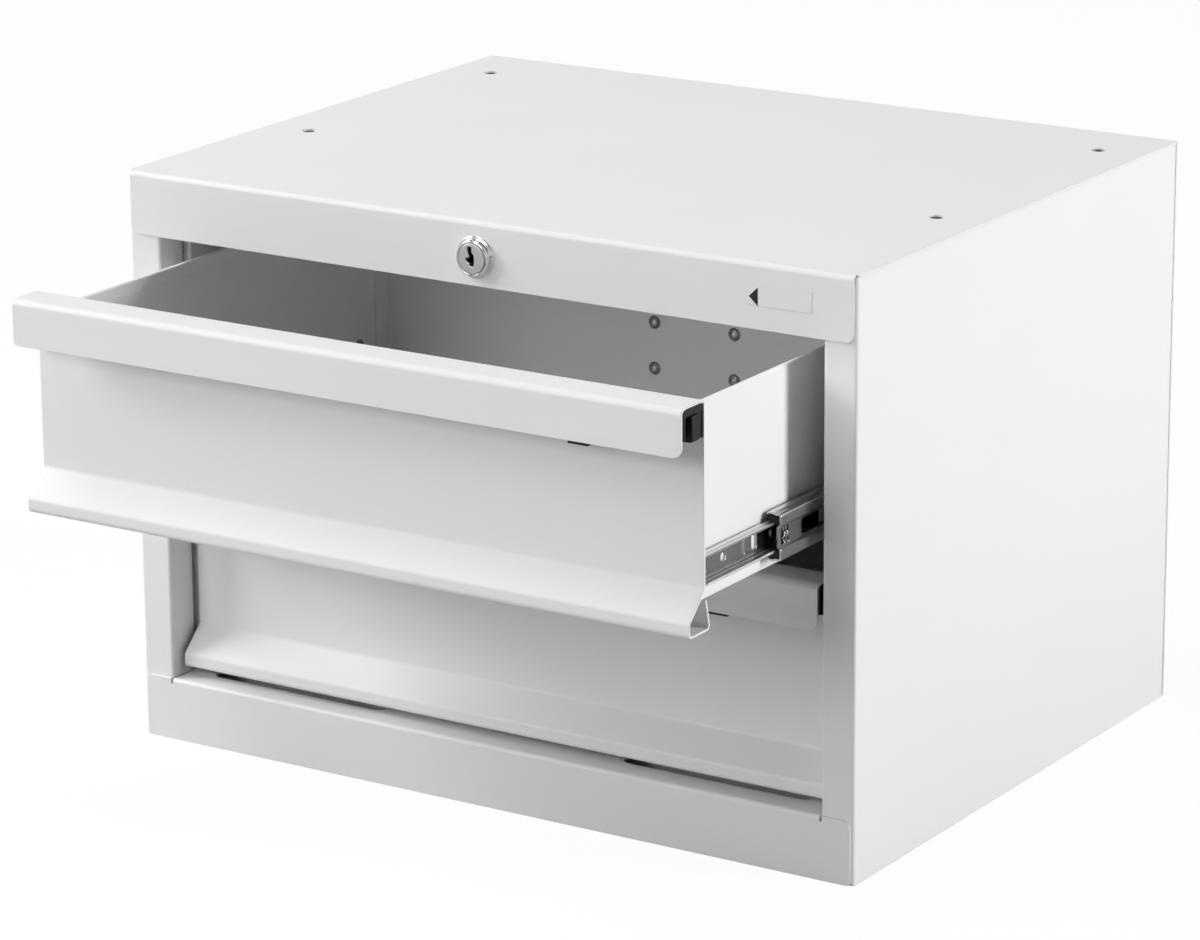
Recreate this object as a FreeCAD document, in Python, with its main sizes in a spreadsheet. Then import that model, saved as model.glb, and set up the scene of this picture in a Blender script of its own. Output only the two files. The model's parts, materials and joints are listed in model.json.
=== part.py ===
import FreeCAD, Part
import math
import os
import re

import Sketcher

# A two-drawer sheet-steel cabinet for a van, on ball-bearing slides, with one lock for both drawers
# and a finger latch in the hood of each drawer front. Millimetres, X to the right, Y to the back,
# Z up. The origin is the centre of the footprint, on the floor. The upper drawer stands part open.

# Driving sizes. Each can be set by itself.
SIZES = {
    "cabinet_width": 457.2,
    "cabinet_depth": 355.6,
    "cabinet_height": 323.85,
    "cabinet_sheet": 1.2,
    "cabinet_bend": 1.6,
    "inner_bend": 0.4,
    "inward_flange": 15,
    "seam_gap": 0.3,
    # Front frame
    "stile_width": 19.6,
    "stile_return": 20,
    "fascia_height": 35.05,
    "fascia_bend": 3,
    "fascia_side_gap": 1.9,
    "fascia_flange": 14,
    "face_corner": 4.5,
    "toe_rail_height": 35.3,
    "toe_rail_flange": 37.8,
    "toe_rail_lip": 12,
    "toe_rail_bend": 2,
    "toe_notch_depth": 3,
    "toe_rail_corner": 2,
    "toe_slot_length": 116,
    "toe_slot_width": 11,
    "toe_slot_end_gap": 15.7,
    "toe_slot_setback": 16,
    "bottom_upstand": 20,
    # Fixing holes in the top and the bottom, measured in from the cabinet's faces
    "fixing_side_inset": 27.6,
    "fixing_front_inset": 130.8,
    "fixing_rear_inset": 41.8,
    "fixing_hole": 8.5,
    # Posts that carry the slides
    "post_inset": 2.3,
    "post_width": 40.5,
    "post_lip": 10,
    "front_post_setback": 25.3,
    "rear_post_setback": 25.8,
    # Drawers in the opening
    "upper_open": 130.5,
    "lower_open": 0,
    "drawer_gap_below": 5.2,
    "drawer_gap_between": 5.5,
    "drawer_gap_above": 5.8,
    "front_side_gap": 3.2,
    "lip_setback": 1.4,
    # Drawer front, one folded sheet
    "front_sheet": 1.2,
    "hood_height": 25,
    "hood_bend": 3.5,
    "hood_back_bend": 2,
    "left_lip_corner": 2.5,
    "right_lip_corner": 5.5,
    "panel_setback": 21,
    "pull_lip_height": 8,
    "pull_rise": 14,
    "pull_reach": 14.4,
    "pull_bend": 3,
    "tube_depth": 20.5,
    "tube_flange_height": 16,
    "tube_flange_lean": 3.8,
    # Tray
    "tray_sheet": 1,
    "tray_bend": 1.8,
    "tray_floor_rise": 9.5,
    "tray_upstand": 30,
    "tray_back_gap": 31.9,
    "tray_back_flange": 14,
    "rim_drop": 6.5,
    "hem_height": 7.5,
    "hem_thickness": 2.8,
    "hem_bend": 1,
    # Slides
    "slide_thickness": 12.7,
    "slide_setback": 33.3,
    "slide_back_gap": 17.5,
    "slide_rise": 28,
    "slide_sheet": 1.2,
    "slide_bend": 0.9,
    "inner_slide_half": 8.1,
    "middle_edge": 1.6,
    "outer_edge": 2.2,
    "web_clearance": 0.4,
    "ball_diameter": 3.4,
    "ball_clearance": 0.05,
    "cage_sheet": 0.5,
    "cage_strip": 1,
    "cage_length": 120,
    "cage_setback": 76.5,
    "cage_hole_clearance": 0.15,
    "ball_pitch": 15,
    "inner_ball_gap": 1.4,
    "outer_ball_gap": 2.9,
    "slide_stop_hole": 5,
    "slide_stop_hole_place": 24.5,
    "slide_thin_slot_width": 2.4,
    "slide_thin_slot_place": 43.5,
    "slide_wide_slot_width": 5,
    "slide_wide_slot_place": 54,
    "slide_slot_height": 9,
    "bumper_length": 3,
    # Rivets
    "rivet_shank": 3.85,
    "rivet_head": 8,
    "rivet_head_rise": 1.6,
    "rivet_tail": 6.6,
    "rivet_tail_rise": 1.2,
    "rivet_clearance": 0.05,
    "tray_rivet_front": 72,
    "tray_rivet_middle": 166,
    "tray_rivet_rear_gap": 44.5,
    # Catch on the back of each drawer
    "catch_centre_across": 15,
    "catch_rise": 46.8,
    "catch_rivets_across": 52,
    "catch_rivets_up": 26.5,
    "catch_margin": 6,
    "catch_sheet": 1.5,
    "catch_shelf_reach": 16,
    "catch_shelf_width": 40,
    "catch_hole_width": 12,
    "catch_hole_depth": 6,
    "catch_hole_offset": 1.6,
    # Lock
    "lock_nut_gap": 2.35,
    "lock_flange": 23.1,
    "lock_flange_thickness": 1.2,
    "lock_collar": 19.6,
    "lock_barrel": 19,
    "lock_barrel_length": 21,
    "lock_nut_across": 24,
    "lock_nut_thickness": 5,
    "plug_head": 16.3,
    "plug_head_length": 3,
    "plug_head_edge": 0.8,
    "plug_shank": 12,
    "plug_tail_length": 10,
    "plug_clip": 17,
    "plug_clip_thickness": 1,
    "plug_groove_depth": 1,
    "plug_fit": 0.05,
    "moving_gap": 0.3,
    "keyway_width": 2,
    "keyway_height": 10.2,
    "keyway_drop": 3.9,
    "keyway_depth": 7,
    "key_window_width": 2.2,
    "key_window_height": 2.6,
    "key_window_rise": 1.7,
    "rod_diameter": 6,
    "rod_fit": 0.08,
    "rod_socket": 8,
    "rod_bracket_setback": 37,
    "rod_bracket_width": 24,
    "rod_bracket_foot": 12,
    "rod_bracket_sheet": 1.5,
    "crank_radius": 12,
    "crank_thickness": 3,
    "crank_width": 9,
    "crank_hub": 13,
    "crank_hub_front": 2,
    "crank_hub_back": 1,
    "crank_pin": 4,
    "crank_gap": 5,
    "pin_clearance": 0.4,
    "pin_rise_clearance": 0.7,
    # Lock bar behind the drawers
    "lock_bar_width": 16,
    "lock_bar_thickness": 2,
    "lock_bar_back_gap": 2.6,
    "lock_bar_ear": 4,
    "lock_bar_head": 3,
    "lock_bar_foot_drop": 22.55,
    "guide_clearance": 0.3,
    "guide_sheet": 1.2,
    "guide_side": 2,
    "guide_height": 6,
    "upper_guide_gap": 23.45,
    "middle_guide_drop": 36.55,
    "lower_guide_drop": 12.55,
    "finger_thickness": 3,
    "finger_width": 10,
    "finger_length": 30,
    "finger_lift": 3,
    # Finger latch in the hood
    "latch_bar_height": 13.6,
    "latch_bar_drop": 4.9,
    "latch_bar_thickness": 3,
    "latch_bar_setback": 8.5,
    "latch_bar_start": 94,
    "latch_nose_length": 21,
    "latch_nose_depth": 8,
    "latch_nose_setback": 6,
    "latch_nose_gap": 1.4,
    "latch_clearance": 0.3,
    "latch_slot_clearance": 0.8,
    "latch_cap_length": 15.3,
    "latch_cap_proud": 0.6,
    "latch_cap_height": 15.4,
    "latch_cap_depth": 18,
    "latch_tab_centre": 66.5,
    "latch_tab_width": 11.8,
    "latch_tab_thickness": 2.5,
    "latch_tab_reach": 3.4,
    "latch_guide_width": 4,
    "latch_guide_wall": 1.1,
    "left_latch_guide": 83,
    "right_latch_guide": 39,
    "click_spring_sheet": 0.5,
    "click_spring_height": 7,
    "click_spring_start": 57,
    "click_spring_bend": 49,
    "click_spring_tip": 27,
    "click_notch": 1.2,
    "latch_travel": 5,
    # How far a cutter runs past what it cuts
    "cutter_margin": 1,
}

# Places worked out from the driving sizes.
PLACES = {
    "half_width": "cabinet_width / 2",
    "half_depth": "cabinet_depth / 2",
    "front_y": "-half_depth",
    "under_top": "cabinet_height - cabinet_sheet",
    "wall_inside": "half_width - cabinet_sheet",
    "back_inside": "half_depth - cabinet_sheet",
    "stile_y": "front_y + cabinet_sheet",
    "stile_inside": "half_width - stile_width",
    "return_end": "stile_y + stile_return",
    "fascia_half": "half_width - fascia_side_gap",
    "fascia_bottom": "cabinet_height - fascia_height",
    "frame_half": "stile_inside - seam_gap",
    "post_inside": "stile_inside - post_inset",
    "front_post_y": "front_y + front_post_setback",
    "rear_post_y": "half_depth - rear_post_setback - post_width",
    "toe_flange_end": "front_y + toe_rail_flange",
    "toe_slot_y": "front_y + toe_slot_setback",
    "toe_slot_end": "frame_half - toe_slot_end_gap",
    "toe_slot_start": "toe_slot_end - toe_slot_length",
    "fixing_x": "half_width - fixing_side_inset",
    "front_fixing_y": "front_y + fixing_front_inset",
    "rear_fixing_y": "half_depth - fixing_rear_inset",
    # Drawers
    "gap_sum": "drawer_gap_below + drawer_gap_between + drawer_gap_above",
    "front_height": "(fascia_bottom - toe_rail_height - gap_sum) / 2",
    "lower_bottom": "toe_rail_height + drawer_gap_below",
    "upper_bottom": "lower_bottom + front_height + drawer_gap_between",
    "front_half": "stile_inside - front_side_gap",
    "tray_half": "post_inside - slide_thickness",
    "tray_inside": "tray_half - tray_sheet",
    "hem_inside": "tray_half - hem_thickness",
    "pull_setback": "panel_setback - pull_reach",
    "tube_back": "pull_setback + tube_depth",
    "slant_thickness": "front_sheet * sqrt(pull_rise ^ 2 + pull_reach ^ 2) / pull_reach",
    "tube_flange_run": "sqrt(tube_flange_lean ^ 2 + tube_flange_height ^ 2)",
    "lean_thickness": "front_sheet * tube_flange_run / tube_flange_height",
    "tube_flange_slope": "tube_flange_lean / tube_flange_height",
    "pull_slope": "pull_rise / pull_reach",
    "closed_lip_y": "front_y + lip_setback",
    "closed_tray_back": "half_depth - tray_back_gap",
    "closed_slide_y": "front_y + slide_setback",
    "slide_length": "cabinet_depth - slide_setback - slide_back_gap",
    "tray_rivet_rear": "slide_length - tray_rivet_rear_gap",
    # Slide section, measured out from the side of the drawer and up from its centre line
    "race_gap": "ball_diameter + 2 * ball_clearance",
    "middle_slide_half": "inner_slide_half + race_gap + slide_sheet",
    "outer_slide_half": "middle_slide_half + race_gap + slide_sheet",
    "outer_web": "slide_thickness - slide_sheet",
    "outer_cage_web": "outer_web - web_clearance - cage_sheet",
    "middle_web": "outer_cage_web - web_clearance - slide_sheet",
    "inner_cage_web": "middle_web - web_clearance - cage_sheet",
    "inner_edge": "inner_cage_web - web_clearance",
    "inner_ball_side": "inner_cage_web - ball_diameter / 2 - inner_ball_gap",
    "outer_ball_side": "outer_cage_web - ball_diameter / 2 - outer_ball_gap",
    "inner_ball_rise": "inner_slide_half + race_gap / 2",
    "outer_ball_rise": "middle_slide_half + race_gap / 2",
    "front_post_rivet_y": "front_post_y + post_width / 2",
    "rear_post_rivet_y": "rear_post_y + post_width / 2",
    # Lock
    "lock_height": "fascia_bottom + cabinet_sheet + lock_nut_across / 2 + lock_nut_gap",
    "lock_flange_y": "front_y - lock_flange_thickness",
    "plug_head_y": "lock_flange_y - moving_gap - plug_head_length",
    "lock_collar_y": "plug_head_y + moving_gap",
    "barrel_end": "front_y + lock_barrel_length",
    "plug_end": "barrel_end + plug_tail_length",
    "rod_start": "plug_end - rod_socket",
    "rod_bracket_y": "half_depth - rod_bracket_setback",
    "lock_bar_back": "back_inside - lock_bar_back_gap",
    "lock_bar_front": "lock_bar_back - lock_bar_thickness",
    "lock_bar_left": "catch_centre_across - lock_bar_width / 2",
    "lock_bar_right": "catch_centre_across + lock_bar_width / 2",
    "crank_back": "lock_bar_front - crank_gap",
    "crank_front": "crank_back - crank_thickness",
    "crank_hub_start": "crank_front - crank_hub_front",
    "crank_hub_end": "crank_back + crank_hub_back",
    "pin_end": "lock_bar_back + (back_inside - lock_bar_back) / 2",
    "pin_rest_x": "crank_radius * sqrt(2) / 2",
    "pin_rest_height": "lock_height + pin_rest_x",
    "pin_slot_half": "crank_pin / 2 + pin_rise_clearance",
    "pin_slot_left": "pin_rest_x - crank_pin / 2 - pin_clearance",
    "pin_slot_right": "crank_radius + crank_pin / 2 + pin_clearance",
    "catch_back": "closed_tray_back + catch_sheet",
    "catch_hole_y": "catch_back + (catch_shelf_reach - catch_hole_depth) / 2 + catch_hole_offset",
    "finger_y": "catch_hole_y + (catch_hole_depth - finger_thickness) / 2",
    "catch_half_height": "catch_rivets_up / 2 + catch_margin",
    "catch_half_width": "catch_rivets_across / 2 + catch_margin",
    # Latch, measured from the right-hand end of the drawer front
    "latch_cap_x": "front_half - latch_cap_length",
    "latch_cap_end": "front_half + latch_cap_proud",
    "latch_nose_end": "stile_inside - latch_nose_gap",
    "latch_nose_x": "latch_nose_end - latch_nose_length",
    "latch_bar_x": "stile_inside - latch_bar_start",
    "latch_tab_x": "stile_inside - latch_tab_centre - latch_tab_width / 2",
    "click_spring_x": "stile_inside - click_spring_start",
    "click_bend_x": "stile_inside - click_spring_bend",
    "click_tip_x": "stile_inside - click_spring_tip",
}
for level in ("upper", "lower"):
    PLACES.update({
        f"{level}_lip_y": f"closed_lip_y - {level}_open",
        f"{level}_panel_y": f"{level}_lip_y + panel_setback",
        f"{level}_tray_front": f"{level}_panel_y + front_sheet",
        f"{level}_tray_back": f"closed_tray_back - {level}_open",
        f"{level}_hood_top": f"{level}_bottom + front_height",
        f"{level}_lip_bottom": f"{level}_hood_top - hood_height",
        f"{level}_floor": f"{level}_bottom + tray_floor_rise",
        f"{level}_rim": f"{level}_hood_top - rim_drop",
        f"{level}_slide_height": f"{level}_bottom + slide_rise",
        f"{level}_inner_y": f"closed_slide_y - {level}_open",
        f"{level}_middle_y": f"closed_slide_y - {level}_open / 2",
        f"{level}_outer_cage_y": f"closed_slide_y + cage_setback - {level}_open / 4",
        f"{level}_inner_cage_y": f"closed_slide_y + cage_setback - {level}_open * 3 / 4",
        f"{level}_catch_height": f"{level}_bottom + catch_rise",
        f"{level}_shelf_top": f"{level}_catch_height - catch_half_height + catch_sheet",
        f"{level}_finger_tip": f"{level}_shelf_top + finger_lift",
        f"{level}_latch_top": f"{level}_hood_top - latch_bar_drop",
        f"{level}_latch_bottom": f"{level}_latch_top - latch_bar_height",
        f"{level}_under_hood": f"{level}_hood_top - front_sheet",
    })
PLACES.update({
    "upper_guide_height": "upper_finger_tip + finger_length + upper_guide_gap",
    "middle_guide_height": "upper_finger_tip - middle_guide_drop",
    "lower_guide_height": "lower_finger_tip - lower_guide_drop",
    "lock_bar_foot": "lower_finger_tip - lock_bar_foot_drop",
})

document = FreeCAD.newDocument("van_drawer_cabinet")
sheet_of = {}
nodes = []


def bind(text, home=""):
    """The expression with each size and place written with the sheet that holds it."""
    def in_full(match):
        word = match.group()
        if word not in sheet_of or sheet_of[word].Name == home:
            return word
        return f"{sheet_of[word].Name}.{word}"
    return re.sub(r"[a-z][a-z_]+", in_full, text)


def fill_sheet(name, cells):
    """A sheet with one named cell a row."""
    sheet = document.addObject("Spreadsheet::Sheet", name)
    for row, (alias, content) in enumerate(cells.items(), start=1):
        sheet_of[alias] = sheet
        text = bind(f"={content}", name) if isinstance(content, str) else str(content)
        sheet.set(f"A{row}", alias)
        sheet.set(f"B{row}", text)
        sheet.setAlias(f"B{row}", alias)
    sheet.recompute()


def number(term):
    """The value of a size or place, or of its negative."""
    word = term.lstrip("-")
    sign = -1 if term.startswith("-") else 1
    return sign * float(sheet_of[word].get(word))


def box(name, across, back, up):
    """A block, given its low and high value along X, Y and Z."""
    block = document.addObject("Part::Box", name)
    spans = (("Length", "x", across), ("Width", "y", back), ("Height", "z", up))
    for size, axis, (low, high) in spans:
        block.setExpression(size, bind(f"({high}) - ({low})"))
        block.setExpression(f".Placement.Base.{axis}", bind(low))
    return block


TURNS = {
    "+x": FreeCAD.Rotation(FreeCAD.Vector(0, 1, 0), 90),
    "-x": FreeCAD.Rotation(FreeCAD.Vector(0, 1, 0), -90),
    "+y": FreeCAD.Rotation(FreeCAD.Vector(1, 0, 0), -90),
    "-y": FreeCAD.Rotation(FreeCAD.Vector(1, 0, 0), 90),
    "+z": FreeCAD.Rotation(),
}


def place(piece, turn, where):
    """Turns a primitive's own Z to an axis and puts its base at a point."""
    piece.Placement = FreeCAD.Placement(FreeCAD.Vector(), TURNS[turn])
    for axis, value in zip("xyz", where):
        piece.setExpression(f".Placement.Base.{axis}", bind(value))
    return piece


def cylinder(name, axis, centre, radius, low, high):
    """A round bar along one axis, given its centre on the other two and its low and high end."""
    bar = document.addObject("Part::Cylinder", name)
    bar.setExpression("Radius", bind(radius))
    bar.setExpression("Height", bind(f"({high}) - ({low})"))
    others = iter(centre)
    where = [low if letter == axis else next(others) for letter in "xyz"]
    return place(bar, f"+{axis}", where)


def dome(name, turn, base, width, rise):
    """A shallow domed rivet head, the cap of a sphere, with its flat side at the base point."""
    radius = f"(({width}) ^ 2 / 4 + ({rise}) ^ 2) / (2 * ({rise}))"
    cap = document.addObject("Part::Sphere", name)
    cap.setExpression("Radius", bind(radius))
    cap.setExpression("Angle1", bind(f"asin(1 - ({rise}) / ({radius}))"))
    sign = turn[0]
    away = "-" if sign == "+" else "+"
    where = [
        f"({value}) {away} ({radius} - ({rise}))" if letter == turn[1] else value
        for letter, value in zip("xyz", base)
    ]
    return place(cap, turn, where)


def fuse(name, pieces):
    """Pieces joined into one solid."""
    joined = document.addObject("Part::MultiFuse", name)
    joined.Shapes = pieces
    joined.Refine = True
    return joined


def cut(name, base, tools):
    """A piece less one or more tools."""
    tool = tools[0]
    if len(tools) > 1:
        tool = document.addObject("Part::Compound", f"{name}_cutters")
        tool.Links = tools
    left = document.addObject("Part::Cut", name)
    left.Base = base
    left.Tool = tool
    left.Refine = True
    return left


def group(name, pieces):
    """Separate solids kept together."""
    held = document.addObject("Part::Compound", name)
    held.Links = pieces
    return held


def mirror(name, piece):
    """The left-hand twin of a right-hand piece."""
    twin = document.addObject("Part::Mirroring", name)
    twin.Source = piece
    twin.Normal = FreeCAD.Vector(1, 0, 0)
    return twin


def node(piece):
    """Marks a finished piece, whose name is its file's name."""
    piece.Label = piece.Name
    nodes.append(piece)
    return piece


# For each sketch plane: the two axes that its outline is given along, the axis that it is padded
# along, and the side of the plane that its normal points to.
PLANES = {
    "XY_Plane": ("x", "y", "z", 1),
    "XZ_Plane": ("x", "z", "y", -1),
    "YZ_Plane": ("y", "z", "x", 1),
}


def new_sketch(body, plane, depth):
    """A sketch parallel to one of the body's origin planes, at a depth along its normal."""
    sketch = body.newObject("Sketcher::SketchObject", f"{body.Name}_sketch")
    origin_plane = [item for item in body.Origin.OriginFeatures if item.Role == plane][0]
    sketch.AttachmentSupport = (origin_plane, [""])
    sketch.MapMode = "FlatFace"
    sketch.setExpression(".AttachmentOffset.Base.z", bind(depth))
    return sketch


def draw_outline(sketch, outline):
    """A closed outline of straight lines, each corner held at its two coordinates."""
    count = len(outline)
    for index in range(count):
        ends = [
            FreeCAD.Vector(math.cos(turn), math.sin(turn), 0)
            for turn in (2 * math.pi * index / count, 2 * math.pi * (index + 1) / count)
        ]
        sketch.addGeometry(Part.LineSegment(*ends), False)
    for index, corner in enumerate(outline):
        sketch.addConstraint(Sketcher.Constraint("Coincident", index, 2, (index + 1) % count, 1))
        for kind, value in zip(("DistanceX", "DistanceY"), corner):
            number_of = sketch.addConstraint(Sketcher.Constraint(kind, -1, 1, index, 1, 1.0))
            sketch.setExpression(f"Constraints[{number_of}]", bind(value))


def fillet_corners(body, axes, corners):
    """Rounds the edges that stand on the given corners of the outline, one fillet per radius."""
    for radius in dict.fromkeys(radius for _, radius in corners):
        base = body.Tip
        names = []
        for index, edge in enumerate(base.Shape.Edges, start=1):
            ends = [[getattr(vertex.Point, axis) for axis in axes] for vertex in edge.Vertexes]
            for corner, corner_radius in corners:
                stands = len(ends) == 2 and all(math.dist(end, corner) < 1e-4 for end in ends)
                if stands and corner_radius == radius:
                    names.append(f"Edge{index}")
        rounded = body.newObject("PartDesign::Fillet", f"{body.Name}_round")
        rounded.Base = (base, names)
        rounded.setExpression("Radius", bind(radius))
        rounded.recompute()
        body.Tip = rounded


def prism(name, plane, outline, low, high):
    """A body padded from an outline: corners are (across, up) or (across, up, radius)."""
    body = document.addObject("PartDesign::Body", name)
    first, second, along, side = PLANES[plane]
    sketch = new_sketch(body, plane, low if side > 0 else f"-({high})")
    draw_outline(sketch, [corner[:2] for corner in outline])
    sketch.recompute()
    pad = body.newObject("PartDesign::Pad", f"{name}_pad")
    pad.Profile = sketch
    pad.setExpression("Length", bind(f"({high}) - ({low})"))
    pad.recompute()
    starts = [(line.StartPoint.x, line.StartPoint.y) for line in sketch.Geometry]
    corners = [(start, corner[2]) for start, corner in zip(starts, outline) if len(corner) > 2]
    if corners:
        fillet_corners(body, (first, second), corners)
    body.recompute()
    return body


def round_edges(name, piece, axes, corners, radius):
    """Rounds the edges of a piece that run along the third axis through named corners."""
    piece.recompute()
    targets = [[number(term) for term in corner] for corner in corners]
    numbers = []
    for index, edge in enumerate(piece.Shape.Edges, start=1):
        ends = [[getattr(vertex.Point, axis) for axis in axes] for vertex in edge.Vertexes]
        if len(ends) != 2:
            continue
        if any(all(math.dist(end, target) < 1e-4 for end in ends) for target in targets):
            numbers.append(index)
    rounded = document.addObject("Part::Fillet", name)
    rounded.Base = piece
    rounded.Edges = [(index, number(radius), number(radius)) for index in numbers]
    return rounded


def fixing_holes(name, low, high):
    """Cutters for the four fixing holes."""
    return [
        cylinder(
            f"{name}_{side}{end}", "z", (f"{side}fixing_x", f"{end}_fixing_y"), "fixing_hole / 2",
            low, high,
        )
        for side in ("", "-") for end in ("front", "rear")
    ]


def make_side_panels():
    """Side sheets, each folded at the front into the stile and its return, and flanged inwards."""
    inside = "stile_inside + cabinet_sheet"
    rear_flange_y = "back_inside - cabinet_sheet"
    flange_x = ("half_width - inward_flange", "half_width - cabinet_sheet / 2")
    flange_y = ("return_end + seam_gap", rear_flange_y)
    folded = prism("side_sheet", "XY_Plane", [
        ("stile_inside", "return_end"),
        ("stile_inside", "stile_y", "cabinet_bend"),
        ("half_width", "stile_y", "cabinet_bend"),
        ("half_width", "back_inside", "cabinet_bend"),
        ("half_width - inward_flange", "back_inside"),
        ("half_width - inward_flange", rear_flange_y),
        ("wall_inside", rear_flange_y, "inner_bend"),
        ("wall_inside", "stile_y + cabinet_sheet", "inner_bend"),
        (inside, "stile_y + cabinet_sheet", "inner_bend"),
        (inside, "return_end"),
    ], "0", "under_top")
    flanges = [
        box("side_bottom_flange", flange_x, flange_y, ("cabinet_sheet", "2 * cabinet_sheet")),
        box("side_top_flange", flange_x, flange_y, ("under_top - cabinet_sheet", "under_top")),
    ]
    relief = box(
        "stile_relief", ("stile_inside - cabinet_sheet", "fascia_half + seam_gap"),
        ("stile_y - cabinet_sheet", "front_y + 2 * fascia_bend"),
        ("under_top - fascia_bend", "cabinet_height"),
    )
    side = cut("side_panel", fuse("side_blank", [folded] + flanges), [relief])
    nose_y = "closed_lip_y + latch_nose_setback"
    slots = [
        box(
            f"{level}_latch_slot",
            ("stile_inside - cabinet_sheet", "stile_inside + 2 * cabinet_sheet"),
            (f"{nose_y} - latch_slot_clearance", f"{nose_y} + latch_nose_depth + latch_slot_clearance"),
            (f"{level}_latch_bottom - latch_slot_clearance", f"{level}_latch_top + latch_slot_clearance"),
        )
        for level in ("upper", "lower")
    ]
    node(cut("right_side_panel", side, slots))
    node(mirror("left_side_panel", side))


def make_back_panel():
    """Flat sheet over the rear flanges of the side panels."""
    node(box("back_panel", ("-half_width", "half_width"), ("back_inside", "half_depth"), ("0", "under_top")))


def make_bottom_panel():
    """Flat sheet between the side walls, turned up behind the toe rail."""
    wide = "wall_inside - seam_gap"
    rear_half = "half_width - inward_flange - seam_gap"
    thickness = ("0", "cabinet_sheet")
    rear = "back_inside - cabinet_sheet"
    pieces = [
        box("bottom_middle", (f"-({wide})", wide), ("return_end + seam_gap", rear), thickness),
        box("bottom_front", ("-frame_half", "frame_half"), ("stile_y", "0"), thickness),
        box("bottom_rear", (f"-({rear_half})", rear_half), ("0", "back_inside"), thickness),
        box(
            "bottom_turn_up", ("-frame_half", "frame_half"), ("stile_y", "stile_y + cabinet_sheet"),
            ("0", "bottom_upstand"),
        ),
        box(
            "bottom_rear_turn_up", (f"-({rear_half})", rear_half), (rear, "back_inside"),
            ("0", "bottom_upstand"),
        ),
    ]
    beside_return = "stile_inside + cabinet_sheet + seam_gap"
    beside_stile = ("stile_y + cabinet_sheet + seam_gap", "0")
    for index, span in enumerate(((beside_return, wide), (f"-({wide})", f"-({beside_return})"))):
        pieces.append(box(f"bottom_corner_{index}", span, beside_stile, thickness))
    plate = fuse("bottom_plate", pieces)
    node(cut("bottom_panel", plate, fixing_holes("bottom_hole", "-cabinet_sheet", "2 * cabinet_sheet")))


def make_top_panel():
    """Top sheet folded down at the front into the fascia, which carries the lock."""
    bend_end = "front_y + 2 * fascia_bend"
    fascia = prism("fascia", "YZ_Plane", [
        ("front_y", "fascia_bottom"),
        ("front_y", "cabinet_height", "fascia_bend"),
        (bend_end, "cabinet_height"),
        (bend_end, "under_top"),
        ("stile_y", "under_top", "fascia_bend - cabinet_sheet"),
        ("stile_y", "fascia_bottom"),
    ], "-fascia_half", "fascia_half")
    corners = [("fascia_half", "fascia_bottom"), ("-fascia_half", "fascia_bottom")]
    rounded = round_edges("rounded_fascia", fascia, "xz", corners, "face_corner")
    pieces = [
        rounded,
        box(
            "top_sheet", ("-half_width", "half_width"), ("front_y + fascia_bend", "half_depth"),
            ("under_top", "cabinet_height"),
        ),
        box(
            "fascia_turn_in", ("-frame_half", "frame_half"), ("front_y", "front_y + fascia_flange"),
            ("fascia_bottom", "fascia_bottom + cabinet_sheet"),
        ),
    ]
    holes = fixing_holes("top_hole", "under_top - cabinet_sheet", "cabinet_height + cabinet_sheet")
    lock_hole = cylinder(
        "lock_hole", "y", ("0", "lock_height"), "lock_barrel / 2 + plug_fit", "front_y - cabinet_sheet",
        "front_y + 2 * cabinet_sheet",
    )
    node(cut("top_panel", fuse("top_fold", pieces), holes + [lock_hole]))


def make_toe_rail():
    """Folded rail under the drawers, with two long slots in its flange and a relief notch beside
    each end of the bend."""
    front = ("front_y", "stile_y")
    face_up = ("0", "toe_rail_height - toe_notch_depth")
    ledge = "toe_rail_height - cabinet_sheet"
    end_x = "frame_half + cabinet_sheet"
    wide_end = "front_post_y - seam_gap"
    narrow = ("-post_inside + seam_gap", "post_inside - seam_gap")
    pieces = [
        prism("toe_fold", "YZ_Plane", [
            ("front_y", "0"),
            ("front_y", "toe_rail_height", "toe_rail_bend"),
            (wide_end, "toe_rail_height"),
            (wide_end, ledge),
            ("stile_y", ledge, "toe_rail_bend - cabinet_sheet"),
            ("stile_y", "0"),
        ], "-frame_half", "frame_half"),
        box("toe_face", (f"-({end_x} + cabinet_sheet)", f"{end_x} + cabinet_sheet"), front, face_up),
        box("toe_flange", narrow, ("stile_y + toe_rail_bend", "toe_flange_end"), (ledge, "toe_rail_height")),
        box(
            "toe_lip", narrow, ("toe_flange_end - cabinet_sheet", "toe_flange_end"),
            ("toe_rail_height - toe_rail_lip", "toe_rail_height"),
        ),
    ]
    for index, sign in enumerate(("", "-")):
        pieces.append(prism(f"toe_end_{index}", "XZ_Plane", [
            (f"{sign}({end_x})", "0"),
            (f"{sign}fascia_half", "0", "toe_rail_corner"),
            (f"{sign}fascia_half", "toe_rail_height", "face_corner"),
            (f"{sign}({end_x})", "toe_rail_height"),
        ], *front))
    slot_radius = "toe_slot_width / 2"
    slot_y = f"toe_slot_y + {slot_radius}"
    slot_span = ("toe_slot_y", "toe_slot_y + toe_slot_width")
    slot_up = (f"{ledge} - cabinet_sheet", "toe_rail_height + cabinet_sheet")
    slots = []
    for index, sign in enumerate(("", "-")):
        ends = [f"toe_slot_start + {slot_radius}", f"toe_slot_end - {slot_radius}"]
        low, high = [f"{sign}({end})" for end in (ends if sign == "" else ends[::-1])]
        slots.append(box(f"toe_slot_{index}", (low, high), slot_span, slot_up))
        slots.append(cylinder(f"toe_slot_left_{index}", "z", (low, slot_y), slot_radius, *slot_up))
        slots.append(cylinder(f"toe_slot_right_{index}", "z", (high, slot_y), slot_radius, *slot_up))
    node(cut("toe_rail", fuse("toe_blank", pieces), slots))


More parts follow.
